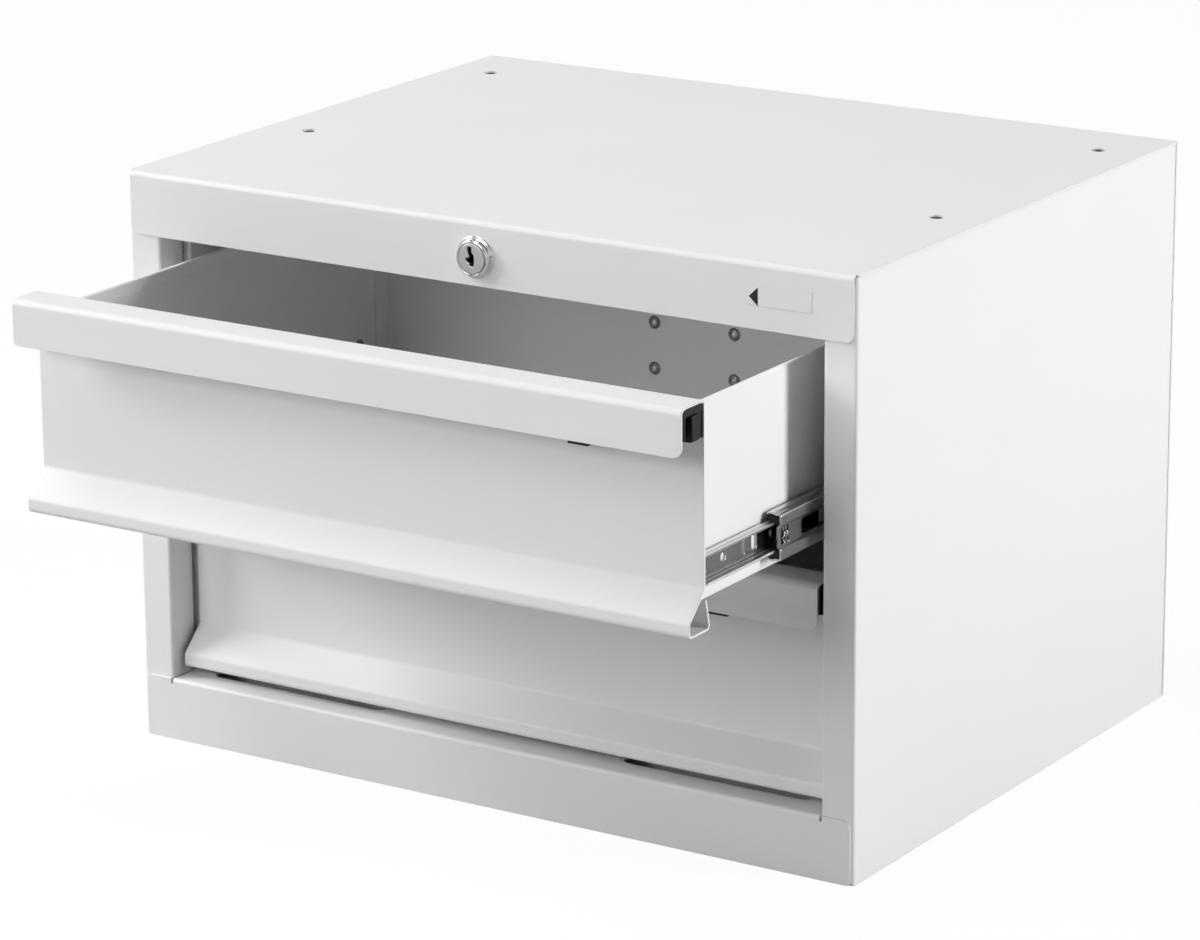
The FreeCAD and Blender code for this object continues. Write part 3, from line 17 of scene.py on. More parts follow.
import bmesh
import bpy
import numpy as np
from mathutils import Matrix, Vector

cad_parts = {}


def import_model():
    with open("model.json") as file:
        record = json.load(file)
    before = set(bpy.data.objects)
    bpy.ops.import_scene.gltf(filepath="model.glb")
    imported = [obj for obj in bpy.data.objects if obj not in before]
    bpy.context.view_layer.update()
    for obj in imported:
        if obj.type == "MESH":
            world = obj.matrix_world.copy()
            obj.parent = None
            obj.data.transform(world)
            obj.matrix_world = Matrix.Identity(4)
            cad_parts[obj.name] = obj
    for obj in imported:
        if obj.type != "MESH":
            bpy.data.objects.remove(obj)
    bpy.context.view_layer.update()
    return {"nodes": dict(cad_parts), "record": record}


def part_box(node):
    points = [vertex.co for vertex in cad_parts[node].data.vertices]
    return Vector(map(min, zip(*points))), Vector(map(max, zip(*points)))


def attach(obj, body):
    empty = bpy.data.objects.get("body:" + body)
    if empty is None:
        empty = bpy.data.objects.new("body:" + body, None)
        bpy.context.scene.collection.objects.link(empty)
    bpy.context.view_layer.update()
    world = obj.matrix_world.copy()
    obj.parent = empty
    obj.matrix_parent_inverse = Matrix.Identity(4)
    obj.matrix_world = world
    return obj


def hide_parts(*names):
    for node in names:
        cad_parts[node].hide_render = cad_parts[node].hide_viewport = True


log = logging.getLogger("cabinet")

MM = 0.001
LEVELS = ("upper", "lower")
WHITE = (1.0, 1.0, 1.0)

Triple = tuple[float, float, float]
Mesh = tuple[np.ndarray, list[list[int]]]
Socket = bpy.types.NodeSocket
Outputs = bpy.types.bpy_prop_collection
Surface = tuple[Socket, Socket, Socket]
Tones = tuple[Triple, Triple]


class Slot(str, Enum):
    """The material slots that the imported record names."""

    CABINET = "cabinet_paint"
    DRAWER = "drawer_paint"
    SLIDE = "slide_zinc"
    CAGE = "cage_steel"
    RIVET = "rivet_steel"
    CHROME = "lock_chrome"
    PLATED = "lock_steel"
    PLASTIC = "black_plastic"


class Side(Enum):
    """The two sides of the cabinet, with the sign of X on each."""

    LEFT = -1
    RIGHT = 1


# Shader building blocks


class NodeTree:
    """A small writer for node trees: makes nodes, sets their plain values and joins sockets."""

    def __init__(self, tree: bpy.types.NodeTree) -> None:
        """Takes the tree to write in."""
        self.tree = tree

    @classmethod
    def emptied(cls, owner: bpy.types.Material | bpy.types.World) -> NodeTree:
        """A material's or a world's own tree, cleared."""
        owner.use_nodes = True
        owner.node_tree.nodes.clear()
        return cls(owner.node_tree)

    def put(self, node: bpy.types.Node, **inputs: object) -> bpy.types.Node:
        """Fills a node's inputs: a socket is joined, anything else is written as a plain value.

        Args:
            node: The node to fill.
            inputs: Inputs by name, with underscores for spaces, or in0, in1... by place.

        Returns:
            The same node.
        """
        for name, value in inputs.items():
            socket = node.inputs[int(name[2:]) if name[:2] == "in" else name.replace("_", " ")]
            if isinstance(value, Socket):
                self.tree.links.new(value, socket)
            elif socket.type == "RGBA":
                socket.default_value = (*value, 1.0)
            else:
                socket.default_value = value
        return node

    def add(self, kind: str, settings: dict | None = None, **inputs: object) -> bpy.types.Node:
        """Adds a node.

        Args:
            kind: The node's type name, after ShaderNode.
            settings: Attributes of the node, by name.
            inputs: Its inputs, as for put.

        Returns:
            The new node.
        """
        node = self.tree.nodes.new(f"ShaderNode{kind}")
        for name, value in (settings or {}).items():
            setattr(node, name, value)
        return self.put(node, **inputs)

    def math(self, operation: str, first: object, second: object = 0.0) -> Socket:
        """One arithmetic step on two sockets or numbers."""
        return self.add("Math", {"operation": operation}, in0=first, in1=second).outputs[0]

    def ramp(
        self, value: Socket, low: float, high: float, first: float = 0.0, last: float = 1.0
    ) -> Socket:
        """A clamped straight ramp, which takes low to first and high to last."""
        node = self.add("MapRange", in0=value, in1=low, in2=high, in3=first, in4=last)
        return node.outputs[0]

    def noise(self, place: Socket, cells: object, octaves: float, fine: float) -> Socket:
        """Fractal noise from 0 to 1: cells per metre, octaves and the weight of the finer ones."""
        node = self.add("TexNoise", Vector=place, Scale=cells, Detail=octaves, Roughness=fine)
        return node.outputs[0]

    def place(self) -> Socket:
        """The place on the object at rest, in metres."""
        return self.add("TexCoord").outputs["Object"]

    def mark(self) -> Socket:
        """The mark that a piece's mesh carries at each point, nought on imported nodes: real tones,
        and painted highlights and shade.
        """
        return self.add("Attribute", {"attribute_name": "polish"}).outputs["Fac"]

    def blend(self, mask: Socket, first: Triple | Socket, second: Triple | Socket) -> Socket:
        """Two linear colours mixed by a mask, which is 0 for the first and 1 for the second."""
        return self.add("Mix", {"data_type": "RGBA"}, in0=mask, in6=first, in7=second).outputs[2]

    def effect(self, name: str, **inputs: object) -> Outputs:
        """The outputs of a shared effect, placed here with these inputs."""
        return self.add("Group", {"node_tree": bpy.data.node_groups[name]}, **inputs).outputs


class EffectGroup(NodeTree):
    """A node group with named inputs and outputs that several finishes share."""

    def __init__(self, name: str, inputs: tuple[str, ...], outputs: tuple[str, ...]) -> None:
        """Makes the group. A normal is a vector and any other socket a number.

        Args:
            name: The group's name.
            inputs: Its inputs' names.
            outputs: Its outputs' names.
        """
        super().__init__(bpy.data.node_groups.new(name, "ShaderNodeTree"))
        for key in inputs + outputs:
            kind = "NodeSocketVector" if "ormal" in key else "NodeSocketFloat"
            way = "INPUT" if key in inputs else "OUTPUT"
            self.tree.interface.new_socket(key, in_out=way, socket_type=kind)
        self.inside = self.tree.nodes.new("NodeGroupInput").outputs
        self.result = self.tree.nodes.new("NodeGroupOutput")

    def bump(self, height: Socket, distance: float) -> Socket:
        """The base normal, bumped by a height of up to a distance in metres."""
        depth, base = self.inside["Depth"], self.inside["Base normal"]
        node = self.add("Bump", Strength=depth, Distance=distance, Height=height, Normal=base)
        return node.outputs[0]


def powder_skin() -> None:
    """The fine dimpled skin of baked powder or moulded nylon, with a slower wave under it."""
    inputs = ("Cells", "Wave cells", "Depth", "Base normal")
    group = EffectGroup("powder_skin", inputs, ("Normal", "Height"))
    place = group.place()
    fine = group.noise(place, group.inside["Cells"], 1.5, 0.45)
    slow = group.noise(place, group.inside["Wave cells"], 1.0, 0.5)
    height = group.math("ADD", fine, group.math("MULTIPLY", slow, 2.5))
    group.put(group.result, Normal=group.bump(height, 0.00006), Height=fine)


def soft_edges() -> None:
    """Edges that catch the light as a small radius does, and a mask of where they are."""
    group = EffectGroup("soft_edges", ("Radius",), ("Normal", "Edge"))
    bevel = group.add("Bevel", {"samples": 4}, Radius=group.inside["Radius"]).outputs[0]
    face = group.add("NewGeometry").outputs["Normal"]
    dot = group.add("VectorMath", {"operation": "DOT_PRODUCT"}, in0=bevel, in1=face)
    group.put(group.result, Normal=bevel, Edge=group.ramp(dot.outputs["Value"], 0.98, 0.80))


def mottle() -> None:
    """Slow uneven tone over a surface."""
    group = EffectGroup("mottle", ("Cells",), ("Tone",))
    slow = group.noise(group.place(), group.inside["Cells"], 3.0, 0.55)
    group.put(group.result, Tone=group.ramp(slow, 0.3, 0.7))


def drawn_lines() -> None:
    """Long fine lines that rolling and drawing leave along a steel section."""
    group = EffectGroup("drawn_lines", ("Depth", "Base normal"), ("Lines", "Normal"))
    drawn = group.add("Mapping", Vector=group.place(), Scale=(1.0, 0.012, 1.0)).outputs[0]
    fine = group.noise(drawn, 1900, 3.0, 0.6)
    broad = group.noise(drawn, 420, 2.0, 0.5)
    lines = group.math("MULTIPLY", group.math("ADD", fine, broad), 0.5)
    group.put(group.result, Lines=lines, Normal=group.bump(lines, 0.00002))


def spangle() -> None:
    """Crystals of a zinc coat: flat cells of slightly different tone, with wavy borders."""
    group = EffectGroup("spangle", ("Cells",), ("Tone",))
    place = group.place()
    wave = group.add("TexNoise", Vector=place, Scale=300, Detail=2.0).outputs["Color"]
    reach = (0.0012, 0.0012, 0.0012)
    moved = group.add("VectorMath", {"operation": "MULTIPLY_ADD"}, in0=wave, in1=reach, in2=place)
    cells = group.add("TexVoronoi", Vector=moved.outputs[0], Scale=group.inside["Cells"])
    split = group.add("SeparateColor", Color=cells.outputs["Color"])
    group.put(group.result, Tone=split.outputs[0])


def turned_rings() -> None:
    """Rings left by facing a part in a lathe that turns about a line along Y."""
    inputs = ("Axis X", "Axis Z", "Depth", "Base normal")
    group = EffectGroup("turned_rings", inputs, ("Rings", "Normal"))
    split = group.add("SeparateXYZ", Vector=group.place()).outputs
    arms = [group.math("SUBTRACT", split[axis], group.inside[f"Axis {axis}"]) for axis in "XZ"]
    squares = [group.math("MULTIPLY", arm, arm) for arm in arms]
    radius = group.math("SQRT", group.math("ADD", *squares))
    line = {"noise_dimensions": "1D"}
    rings = group.add("TexNoise", line, W=radius, Scale=5200.0, Detail=3.0, Roughness=0.6)
    group.put(group.result, Rings=rings.outputs[0], Normal=group.bump(rings.outputs[0], 0.00002))


# Finishes


@dataclass(frozen=True)
class Finish:
    """A finish of two tones over a bumped skin, with edges of another colour.

    Radius, in metres, is what its edges seem to have, and cells are those of its slow tone in a
    metre. Grain holds its skin's cells, slower cells and depth. Rough is the roughness of one tone
    or of the skin's low places, and then of the other.
    """

    name: str = "finish"
    radius: float = 0.00025
    cells: float = 100.0
    grain: Triple = (650.0, 40.0, 0.22)
    tones: Tones = (WHITE, WHITE)
    edge: Triple = WHITE
    rough: tuple[float, float] = (0.3, 0.44)
    metallic: float = 1.0
    reflection: float = 0.5

    def material(self) -> bpy.types.Material:
        """The finish's material."""
        made = bpy.data.materials.new(self.name)
        nodes = NodeTree.emptied(made)
        edges = nodes.effect("soft_edges", Radius=self.radius)
        tone = nodes.effect("mottle", Cells=self.cells)["Tone"]
        colour, rough, normal = self.surface(nodes, edges, tone)
        shader = nodes.add(
            "BsdfPrincipled", Base_Color=colour, Roughness=rough, Metallic=self.metallic,
            Specular_IOR_Level=self.reflection, Normal=normal,
        )
        nodes.add("OutputMaterial", Surface=shader.outputs[0])
        return made

    def skin(self, nodes: NodeTree, edges: Outputs) -> Outputs:
        """The powder skin over the soft edges."""
        grain = dict(zip(("Cells", "Wave_cells", "Depth"), self.grain))
        return nodes.effect("powder_skin", Base_normal=edges["Normal"], **grain)

    def surface(self, nodes: NodeTree, edges: Outputs, tone: Socket) -> Surface:
        """The colour, roughness and normal: plain tones, and a skin with rougher high places."""
        skin = self.skin(nodes, edges)
        colour = nodes.blend(edges["Edge"], nodes.blend(tone, *self.tones), self.edge)
        return colour, nodes.ramp(skin["Height"], 0.2, 0.8, *self.rough), skin["Normal"]


@dataclass(frozen=True)
class PowderCoat(Finish):
    """Satin white powder coat on sheet steel."""

    name: str = "white_powder_coat"
    radius: float = 0.0005
    cells: float = 6.0
    tones: Tones = ((0.860, 0.862, 0.864), (0.838, 0.840, 0.843))
    edge: Triple = (0.780, 0.782, 0.786)
    rough: tuple[float, float] = (0.34, 0.42)
    metallic: float = 0.0
    reflection: float = 0.35

    def surface(self, nodes: NodeTree, edges: Outputs, tone: Socket) -> Surface:
        """Slow tone, paint that is thin in places on the sharp edges, and a dimpled skin."""
        worn = nodes.math("MULTIPLY", edges["Edge"], nodes.math("MULTIPLY", tone, 0.55))
        return super().surface(nodes, {"Edge": worn, "Normal": edges["Normal"]}, tone)


@dataclass(frozen=True)
class BlackNylon(Finish):
    """Black moulded nylon with a fine sparked grain, slightly greyed on its edges."""

    name: str = "black_nylon"
    radius: float = 0.0004
    cells: float = 120.0
    grain: Triple = (2400.0, 300.0, 0.6)
    tones: Tones = ((0.010, 0.010, 0.0105), (0.016, 0.016, 0.0165))
    edge: Triple = (0.045, 0.045, 0.046)
    rough: tuple[float, float] = (0.42, 0.62)
    metallic: float = 0.0
    reflection: float = 0.3


@dataclass(frozen=True)
class ZincPlate(Finish):
    """Bright zinc on rolled slide steel, its tones darkened to paint the dark reflection of the
    surroundings.
    """

    name: str = "bright_zinc"
    cells: float = 55.0
    # Both tones are darker than bright zinc: a painted dark reflection.
    tones: Tones = ((0.42, 0.425, 0.43), (0.24, 0.245, 0.25))
    # The bright tone: on soft edges and the flanges' marked crests it paints highlights.
    edge: Triple = (0.86, 0.865, 0.87)

    def surface(self, nodes: NodeTree, edges: Outputs, tone: Socket) -> Surface:
        """Lines along the section and faint cloudy patches over the darkened tones, and a bright
        tone on soft edges and marked places, which paints highlights along the edges and the
        flanges' crests.
        """
        lines = nodes.effect("drawn_lines", Depth=0.35, Base_normal=edges["Normal"])
        dulled = nodes.math("MULTIPLY", tone, lines["Lines"])
        mark = nodes.mark()
        # The bright tone on marked places and soft edges: painted highlights on the flanges and
        # edges.
        rolled = nodes.blend(mark, nodes.blend(dulled, *self.tones), self.edge)
        colour = nodes.blend(edges["Edge"], rolled, self.edge)
        marked_roughness = nodes.math("MULTIPLY", mark, 0.16)
        rough = nodes.math("ADD", nodes.ramp(dulled, 0.0, 0.7, 0.16, 0.30), marked_roughness)
        return colour, rough, lines["Normal"]


@dataclass(frozen=True)
class GreasedSteel(Finish):
    """Plain steel of the ball cages, with a film of grease."""

    name: str = "greased_cage_steel"
    radius: float = 0.0002
    cells: float = 140.0
    tones: Tones = ((0.50, 0.51, 0.52), (0.36, 0.355, 0.34))
    rough: tuple[float, float] = (0.32, 0.14)

    def surface(self, nodes: NodeTree, edges: Outputs, tone: Socket) -> Surface:
        """Darker steel with glossy greasy patches."""
        lines = nodes.effect("drawn_lines", Depth=0.2, Base_normal=edges["Normal"])
        rough = nodes.ramp(tone, 0.0, 1.0, *self.rough)
        return nodes.blend(tone, *self.tones), rough, lines["Normal"]


@dataclass(frozen=True)
class RivetSteel(Finish):
    """Dull grey steel of blind rivets."""

    name: str = "rivet_steel_dull"
    cells: float = 420.0
    grain: Triple = (2600.0, 600.0, 0.3)
    tones: Tones = ((0.30, 0.30, 0.31), (0.20, 0.20, 0.205))
    edge: Triple = (0.42, 0.42, 0.425)
    broken: Triple = (0.80, 0.80, 0.80)

    def surface(self, nodes: NodeTree, edges: Outputs, tone: Socket) -> Surface:
        """Mottled dull steel with worn, brighter edges and a bright break on the mandrel."""
        ground = nodes.blend(nodes.mark(), nodes.blend(tone, *self.tones), self.broken)
        colour = nodes.blend(edges["Edge"], ground, self.edge)
        rough = nodes.ramp(tone, 0.0, 1.0, *self.rough)
        return colour, rough, self.skin(nodes, edges)["Normal"]


@dataclass(frozen=True)
class LockChrome(Finish):
    """Bright chrome, faced in a lathe about the lock's own axis."""

    name: str = "lock_chrome_turned"
    cells: float = 260.0
    tones: Tones = ((0.82, 0.82, 0.825), (0.74, 0.74, 0.745))
    faced: Triple = (0.62, 0.62, 0.625)
    # Near black: painted shade on the keyway's walls.
    keyway: Triple = (0.012, 0.012, 0.012)
    height: float = 0.30435

    def surface(self, nodes: NodeTree, edges: Outputs, tone: Socket) -> Surface:
        """Turned rings under a bright, slightly hazy plate, satin where half marked, and near black
        where fully marked, which is painted shade inside the keyway.
        """
        inputs = {"Axis_X": 0.0, "Axis_Z": self.height, "Depth": 0.12}
        rings = nodes.effect("turned_rings", Base_normal=edges["Normal"], **inputs)
        mark = nodes.mark()
        satin = nodes.ramp(mark, 0.0, 0.5)
        plate = nodes.blend(satin, nodes.blend(tone, *self.tones), self.faced)
        # Full marks turn near black: painted shade in the keyway.
        colour = nodes.blend(nodes.ramp(mark, 0.5, 1.0), plate, self.keyway)
        ringed = nodes.ramp(rings["Rings"], 0.2, 0.8, 0.05, 0.12)
        rough = nodes.math("ADD", ringed, nodes.math("MULTIPLY", satin, 0.30))
        return colour, rough, rings["Normal"]


@dataclass(frozen=True)
class PlatedSteel(Finish):
    """Zinc-plated pressed steel of the hidden lock works."""

    name: str = "plated_pressed_steel"
    radius: float = 0.0003
    cells: float = 70.0
    grain: Triple = (1500.0, 250.0, 0.15)
    tones: Tones = ((0.64, 0.655, 0.67), (0.46, 0.47, 0.49))
    edge: Triple = (0.74, 0.75, 0.76)
    rough: tuple[float, float] = (0.26, 0.44)

    def surface(self, nodes: NodeTree, edges: Outputs, tone: Socket) -> Surface:
        """Crystals of the coat, cloudy tone and soft edges."""
        crystals = nodes.effect("spangle", Cells=520.0)["Tone"]
        mixed = nodes.math("MULTIPLY", nodes.math("ADD", crystals, tone), 0.5)
        colour = nodes.blend(edges["Edge"], nodes.blend(mixed, *self.tones), self.edge)
        rough = nodes.ramp(mixed, 0.0, 1.0, *self.rough)
        return colour, rough, self.skin(nodes, edges)["Normal"]


FINISHES = {
    Slot.CABINET: PowderCoat(),
    Slot.DRAWER: PowderCoat("white_powder_coat_drawers"),
    Slot.SLIDE: ZincPlate(),
    Slot.CAGE: GreasedSteel(),
    Slot.RIVET: RivetSteel(),
    Slot.CHROME: LockChrome(),
    Slot.PLATED: PlatedSteel(),
    Slot.PLASTIC: BlackNylon(),
}


def wear(piece: bpy.types.Object, slot: Slot) -> None:
    """Gives a piece the finish of a slot, in every one of its material slots."""
    finish = FINISHES[slot]
    material = bpy.data.materials.get(finish.name) or finish.material()
    if not piece.material_slots:
        piece.data.materials.append(material)
    for held in piece.material_slots:
        held.material = material


def dress_packed(frame: dict) -> None:
    """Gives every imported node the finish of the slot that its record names."""
    slots = {entry["node"]: entry["material_slot"] for entry in frame["record"]["subparts"]}
    for name, piece in frame["nodes"].items():
        wear(piece, Slot(slots[name]))
    log.info("dressed %d packed nodes", len(slots))


# Shapes


def arc_corners(
    corners: list | np.ndarray, radii: list | float, closed: bool = False, steps: int = 5
) -> np.ndarray:
    """Rounds the corners of a flat line.

    At each corner the two sides leave along unit directions a and b, half their angle apart h. The
    arc's centre lies along a + b, radius / sin h away, and its feet lie radius / tan h along each
    side.

    Args:
        corners: Corners as rows of two numbers.
        radii: A radius for each corner, or one for all. The ends of an open line stay sharp.
        closed: Whether the line returns to its start.
        steps: Chords in each arc.

    Returns:
        The rounded line's points.
    """
    points = np.asarray(corners, float)
    size = np.broadcast_to(np.asarray(radii, float), len(points)).copy()
    back = np.roll(points, 1, axis=0) - points
    ahead = np.roll(points, -1, axis=0) - points
    if not closed:
        size[[0, -1]] = 0
        back[0] = -ahead[0]
        ahead[-1] = -back[-1]
    back /= np.linalg.norm(back, axis=1)[:, None]
    ahead /= np.linalg.norm(ahead, axis=1)[:, None]
    half = 0.5 * np.arccos(np.clip((back * ahead).sum(axis=1), -1, 1))
    between = back + ahead
    between /= np.maximum(np.linalg.norm(between, axis=1), 1e-9)[:, None]
    centre = points + between * (size / np.sin(half))[:, None]
    first = points + back * (size / np.tan(half))[:, None] - centre
    last = points + ahead * (size / np.tan(half))[:, None] - centre
    cross = first[:, 0] * last[:, 1] - first[:, 1] * last[:, 0]
    turn = np.arctan2(cross, (first * last).sum(axis=1))
    angle = turn[:, None] * np.linspace(0, 1, steps + 1)
    across = first[:, :1] * np.cos(angle) - first[:, 1:] * np.sin(angle)
    along = first[:, :1] * np.sin(angle) + first[:, 1:] * np.cos(angle)
    line = (centre[:, None, :] + np.stack([across, along], axis=-1)).reshape(-1, 2)
    kept = np.linalg.norm(line - np.roll(line, 1, axis=0), axis=1) > 1e-6
    kept[0] = kept[0] or not closed
    return line[kept]


def rectangle(low: tuple, high: tuple, radii: list | float, steps: int = 5) -> np.ndarray:
    """A rectangle with round corners, from its lowest corner on along its first axis."""
    corners = [low, (high[0], low[1]), high, (low[0], high[1])]
    return arc_corners(corners, radii, closed=True, steps=steps)


def window(start: float, end: float, half: float, radius: float) -> np.ndarray:
    """A rectangle from start to end, half high to each side of the middle."""
    return rectangle((start, -half), (end, half), radius)


def circle(radius: float, centre: tuple[float, float] = (0.0, 0.0), count: int = 24) -> np.ndarray:
    """The points of a circle."""
    turn = np.arange(count) * 2 * np.pi / count
    return np.stack([centre[0] + radius * np.cos(turn), centre[1] + radius * np.sin(turn)], axis=1)


def mirrored(half: list[tuple[float, float]], radii: list[float]) -> np.ndarray:
    """A rounded line that goes on from the upper half to its mirror image below."""
    corners = half + [(across, -up) for across, up in half[::-1]]
    return arc_corners(corners, radii + radii[::-1], steps=4)


def sheet_outline(midline: np.ndarray, thickness: float) -> np.ndarray:
    """The closed outline of a bent sheet: its middle line moved half the thickness to each side.

    With n1 and n2 the normals of the two chords at a point, the point moves along
    (n1 + n2) / (1 + n1 . n2), which keeps the thickness on both chords.

    Args:
        midline: Points of the middle line.
        thickness: The sheet's thickness.

    Returns:
        One side's points, then the other side's in reverse.
    """
    chord = np.diff(midline, axis=0)
    chord /= np.linalg.norm(chord, axis=1)[:, None]
    normal = np.stack([-chord[:, 1], chord[:, 0]], axis=1)
    before = np.vstack([normal[:1], normal])
    after = np.vstack([normal, normal[-1:]])
    shift = (before + after) / (1 + (before * after).sum(axis=1))[:, None] * thickness / 2
    return np.vstack([midline + shift, (midline - shift)[::-1]])


def grid_faces(rows: int, columns: int, wrap_rows: bool, wrap_columns: bool) -> list[list[int]]:
    """Four-sided faces of a grid of points held row by row.

    Args:
        rows: Rows of points.
        columns: Points in a row.
        wrap_rows: Whether the last row joins the first.
        wrap_columns: Whether each row closes on itself.

    Returns:
        The faces' point numbers.
    """
    row = np.arange(rows if wrap_rows else rows - 1)[:, None]
    column = np.arange(columns if wrap_columns else columns - 1)[None, :]
    here, there = row * columns, (row + 1) % rows * columns
    ahead = (column + 1) % columns
    corners = [here + column, here + ahead, there + ahead, there + column]
    return np.stack(corners, axis=-1).reshape(-1, 4).tolist()


def tube(rings: np.ndarray) -> Mesh:
    """Closed rings of points joined one to the next, with a face over each end."""
    count, size = rings.shape[:2]
    ends = [list(range(size)), list(range((count - 1) * size, count * size))]
    return rings.reshape(-1, 3), grid_faces(count, size, False, True) + ends


def section(outline: np.ndarray, length: float, soft: float = 0.0) -> Mesh:
    """A closed outline in X and Z, carried straight along Y from nought.

    With soft above nought, the first and last rows are drawn towards the sheet's own middle line,
    which rounds the cut ends of a bent sheet.

    Args:
        outline: The closed outline.
        length: Y of the far end.
        soft: How far the cut ends are rounded.

    Returns:
        Points and faces.
    """
    rows = np.array([0.0, soft, length - soft, length] if soft else [0.0, length])
    flat = np.repeat(outline[None], len(rows), axis=0)
    if soft:
        middle = (outline + outline[::-1]) / 2
        arm = outline - middle
        reach = np.linalg.norm(arm, axis=1)[:, None]
        flat[[0, -1]] = middle + arm * np.maximum(1 - soft / reach, 0.2)
    along = np.repeat(rows[:, None], len(outline), axis=1)
    return tube(np.stack([flat[..., 0], along, flat[..., 1]], axis=-1))


def ribbon(path: np.ndarray, width: float, thickness: float) -> Mesh:
    """A flat strip that climbs along a line of places, so wide along Y and so thick along X."""
    corners = np.array([[-0.5, -0.5, 0], [0.5, -0.5, 0], [0.5, 0.5, 0], [-0.5, 0.5, 0]])
    return tube(path[:, None, :] + (corners * (thickness, width, 0))[None])


def turned(profile: np.ndarray, at: Triple, axis: str, steps: int) -> Mesh:
    """A profile of radius and place turned about a line along X or Y.

    The point at angle t is radius . cos t and radius . sin t across the line. A profile that
    starts off the line closes on itself.

    Args:
        profile: Rows of radius and place.
        at: The point on the line where place is nought.
        axis: x or y, the way that place grows.
        steps: Points round the line.

    Returns:
        Points and faces.
    """
    angle = np.arange(steps)[:, None] * 2 * np.pi / steps
    radius, along = profile[None, :, 0], np.tile(profile[:, 1], (steps, 1))
    first, second = radius * np.cos(angle), radius * np.sin(angle)
    order = [along, first, second] if axis == "x" else [first, along, second]
    points = np.stack(order, axis=-1) + np.asarray(at, float)
    return points.reshape(-1, 3), grid_faces(steps, len(profile), True, profile[0, 0] > 0)


def ball(radius: float) -> Mesh:
    """A ball about the origin: half a circle turned about X."""
    turn = np.linspace(0, np.pi, 9)
    profile = np.stack([radius * np.sin(turn), -radius * np.cos(turn)], axis=1)
    return turned(profile, (0, 0, 0), "x", 12)


def hoop(radius: float, wire: float) -> Mesh:
    """A ring of round wire that lies level: a small circle turned about Z."""
    points, faces = turned(circle(wire, (radius, 0.0), 6), (0, 0, 0), "x", 14)
    return points[:, [1, 2, 0]], faces


def scattered(shape: Mesh, places: np.ndarray) -> Mesh:
    """Copies of a small shape at many places, by adding every place to every point.

    Args:
        shape: Points and faces about the origin.
        places: Rows of three numbers.

    Returns:
        Points and faces of all the copies.
    """
    points, faces = shape
    shifts = range(0, len(places) * len(points), len(points))
    copied = [[corner + shift for corner in face] for shift in shifts for face in faces]
    return (places[:, None, :] + points[None]).reshape(-1, 3), copied


def plate(outlines: list[np.ndarray], half: float, bevel: float, middle: float = 0.0) -> Mesh:
    """A flat plate with holes and softened edges, from closed outlines in its own plane.

    A flat filled curve is thickened and bevelled. Its outlines are first drawn in by the bevel, so
    that the plate and its holes keep their full size.

    Args:
        outlines: The rim first, then any holes.
        half: Half the thickness.
        bevel: The softening of the edges.
        middle: Where the thickness has its middle.

    Returns:
        Points, with the thickness along the third number, and faces.
    """
    curve = bpy.data.curves.new("plate", "CURVE")
    curve.dimensions = "2D"
    curve.fill_mode = "BOTH"
    curve.extrude = half - bevel
    curve.bevel_depth = bevel
    curve.bevel_resolution = 1
    curve.offset = -bevel
    for outline in outlines:
        spline = curve.splines.new("POLY")
        spline.points.add(len(outline) - 1)
        flat = np.zeros((len(outline), 4))
        flat[:, :2] = outline
        spline.points.foreach_set("co", flat.ravel())
        spline.use_cyclic_u = True
    holder = bpy.data.objects.new("plate", curve)
    mesh = bpy.data.meshes.new_from_object(holder)
    points = np.empty(3 * len(mesh.vertices))
    mesh.vertices.foreach_get("co", points)
    faces = [list(face.vertices) for face in mesh.polygons]
    bpy.data.objects.remove(holder)
    bpy.data.curves.remove(curve)
    bpy.data.meshes.remove(mesh)
    return points.reshape(-1, 3) + (0, 0, middle), faces


def shown(name: str, data: bpy.types.ID) -> bpy.types.Object:
    """A new object in the scene."""
    made = bpy.data.objects.new(name, data)
    bpy.context.scene.collection.objects.link(made)
    return made


def span(node: str) -> tuple[np.ndarray, np.ndarray, np.ndarray]:
    """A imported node's lowest corner, highest corner and middle at rest, in millimetres."""
    low, high = np.array(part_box(node)) / MM
    return low, high, (low + high) / 2


